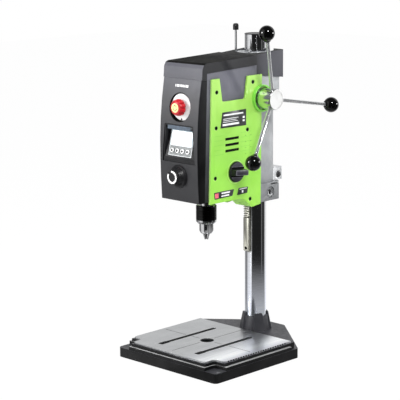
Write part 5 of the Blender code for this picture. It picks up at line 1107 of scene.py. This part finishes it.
displayValues = {
    "foot": (-0.2253, 0.431), "rise": (0.0123, 0.056), "half": 0.0318,
    "low": 0.4342, "middle": 0.4545, "high": 0.4862,
    "plateFoot": 0.00005, "stripTop": 0.00028, "backTop": 0.00026, "frame": (0.0003, 0.0010),
    "side": 0.0012, "bottom": 0.0010, "divide": (0.4538, 0.4546),
    "pocketSpan": (0.4882, 0.4958), "pocketReach": (-0.2266, -0.22635),
    "buttons": 4, "buttonPitch": 0.0145, "buttonHeight": 0.4445,
    "cap": ((0, 0.0037), (0.0026, 0.0037), (0.0026, 0.00385), (0, 0.00385)),
}


def makeDisplay(v):
    y0, z0 = v["foot"]
    lean = atan2(*v["rise"])
    normal = Vector((0, -cos(lean), sin(lean)))

    def onFloor(x, z):
        return Vector((x, y0 + v["rise"][0] * (z - z0) / v["rise"][1], z))

    def plate(name, x0, x1, low, high, foot, top, mat):
        corners = [onFloor(x, z) + normal * foot for x, z in bar(x0, x1, low, high)]
        prism(name, corners, normal * (top - foot), mat)

    half, low, high = v["half"], v["low"], v["high"]
    plate("displayStrip", -half, half, low, v["middle"], v["plateFoot"], v["stripTop"], "stripGrey")
    plate("displayBackPlate", -half, half, v["middle"], high, v["plateFoot"], v["backTop"],
          "displayBlue")
    for name, x0, x1, z1, z2 in (("Left", -half, v["side"] - half, low, high),
                                 ("Right", half - v["side"], half, low, high),
                                 ("Bottom", -half, half, low, low + v["bottom"]),
                                 ("Middle", -half, half, *v["divide"])):
        plate("displayFrame" + name, x0, x1, z1, z2, *v["frame"], "framePale")
    # painted shade and reflection: a dark blue sheet over the recess above the screen
    slab("displayPocketShade", bar(-half, half, *v["pocketSpan"]), *v["pocketReach"], "pocketBlue", axis="y")
    for index in range(v["buttons"]):
        x = v["buttonPitch"] * (index - (v["buttons"] - 1) / 2)
        turned(f"buttonCap_{index + 1}", v["cap"], "darkPlastic", f"button_{index + 1}",
               normal, onFloor(x, v["buttonHeight"]), segments=32, edge=0.00005)


makeDisplay(displayValues)
print("table marks and display made")

# floor and light

lightValues = {
    "tones": (0.9207, 0.93), "cloud": 3, "rough": 0.7, "floorSize": 6, "floorDrop": 0.0004,
    "paper": 0.97, "world": 0.70, "worldTone": (0.95, 0.97, 1.0, 1),
    # what shiny faces see round the object: degrees from +X towards +Y, and how bright it is there
    "ring": ((-180, 0.25), (-150, 0.25), (-135, 0.80), (-92, 1.0), (-86, 0.015), (12, 0.015),
             (20, 0.20), (28, 0.03), (58, 0.05), (72, 0.9), (140, 1.0), (160, 0.7), (180, 0.25)),
    "overhead": 0.10, "overheadHeights": (0.66, 0.80),
    # where the floor close to the object starts and stops being bright, and how bright it is
    "near": (0.30, 0.80), "nearTone": 0.45,
    # the top lamp leaves no spot on shiny faces
    "lamps": {
        "right": {"place": (1.58, -0.80, 1.92), "aim": (0, -0.1, 0.35), "size": 0.34, "power": 34},
        "left": {"place": (-1.05, -2.05, 1.05), "aim": (0, -0.1, 0.3), "size": 0.34, "power": 32},
        "rear": {"place": (1.35, 1.55, 0.78), "aim": (0, -0.1, 0.4), "size": 0.26, "power": 14},
        "top": {"place": (0.2, -0.4, 2.4), "aim": (0, -0.1, 0.3), "size": 1.2, "power": 22,
                "hidden": True},
    },
}


def ringTone(tree, vector, stops):
    # brightness by direction round the vertical axis
    split = addNode(tree, "ShaderNodeSeparateXYZ")
    tree.links.new(vector, split.inputs[0])
    angle = doMath(tree, "ARCTAN2", split.outputs[1], split.outputs[0])
    turn = mapRange(tree, angle, (-pi, pi))
    return ramp(tree, turn, [((a + 180) / 360, b) for a, b in stops]), split.outputs[2]


def makeFloor(v):
    bm = bmesh.new()
    bmesh.ops.create_grid(bm, x_segments=1, y_segments=1, size=v["floorSize"])
    floor = linkMesh("floor", bm)
    floor.location.z = -v["floorDrop"]
    mat, tree, shader = startMaterial("floorPale")
    setInputs(shader, {"Roughness": v["rough"]})
    coords = objectCoords(tree)
    setTones(tree, shader, noise(tree, coords, v["cloud"], 2), surfaceValues["lineBand"], v)
    # shiny faces see the floor end in a dark studio on some sides
    studio, _ = ringTone(tree, coords, v["ring"])
    reach = addNode(tree, "ShaderNodeVectorMath", operation="LENGTH")
    tree.links.new(coords, reach.inputs[0])
    near = mapRange(tree, reach.outputs["Value"], v["near"], (v["nearTone"], 0.0))
    seen = addNode(tree, "ShaderNodeEmission", Strength=1.0)
    tree.links.new(doMath(tree, "MAXIMUM", studio, near), seen.inputs["Color"])
    path = addNode(tree, "ShaderNodeLightPath")
    shiny = mixShaders(tree, path.outputs["Is Glossy Ray"], shader.outputs[0], seen.outputs[0])
    # the camera sees the floor as white paper that keeps a trace of shade
    glow = addNode(tree, "ShaderNodeEmission", Color=(1, 1, 1, 1), Strength=1.0)
    factor = addNode(tree, "ShaderNodeMath", operation="MULTIPLY")
    factor.inputs[1].default_value = v["paper"]
    tree.links.new(path.outputs["Is Camera Ray"], factor.inputs[0])
    surface = mixShaders(tree, factor.outputs[0], shiny, glow.outputs[0])
    tree.links.new(surface, tree.nodes["Material Output"].inputs["Surface"])
    floor.data.materials.append(mat)


def makeWorld(v):
    world = bpy.data.worlds.new("studio")
    bpy.context.scene.world = world
    world.use_nodes = True
    tree = world.node_tree
    back = tree.nodes["Background"]
    setInputs(back, {"Color": v["worldTone"], "Strength": v["world"]})
    path = addNode(tree, "ShaderNodeLightPath")
    # shiny faces see the same ring of light and dark as on the floor, under a dim ceiling
    coord = addNode(tree, "ShaderNodeTexCoord")
    tone, up = ringTone(tree, coord.outputs["Generated"], v["ring"])
    blend = addNode(tree, "ShaderNodeMix", data_type="RGBA")
    tree.links.new(mapRange(tree, up, v["overheadHeights"]), blend.inputs["Factor"])
    tree.links.new(tone, blend.inputs[6])
    blend.inputs[7].default_value = (*asColor(v["overhead"]), 1)
    shiny = addNode(tree, "ShaderNodeBackground", Strength=1.0)
    tree.links.new(blend.outputs[2], shiny.inputs["Color"])
    first = mixShaders(tree, path.outputs["Is Glossy Ray"], back.outputs[0], shiny.outputs[0])
    # the camera sees white
    white = addNode(tree, "ShaderNodeBackground", Color=(1, 1, 1, 1), Strength=1.0)
    surface = mixShaders(tree, path.outputs["Is Camera Ray"], first, white.outputs[0])
    tree.links.new(surface, tree.nodes["World Output"].inputs["Surface"])


def makeLamp(name, v):
    data = bpy.data.lights.new(name, "AREA")
    data.shape = "RECTANGLE"
    data.size = data.size_y = v["size"]
    data.energy = v["power"]
    lamp = linkObject(name, data)
    lamp.location = v["place"]
    aim = Vector(v["aim"]) - Vector(v["place"])
    lamp.rotation_euler = aim.to_track_quat("-Z", "Y").to_euler()
    lamp.visible_glossy = not v.get("hidden", False)


makeFloor(lightValues)
makeWorld(lightValues)
for name, values in lightValues["lamps"].items():
    makeLamp(name, values)
bpy.context.scene.view_settings.view_transform = "Standard"
print("floor and light placed")
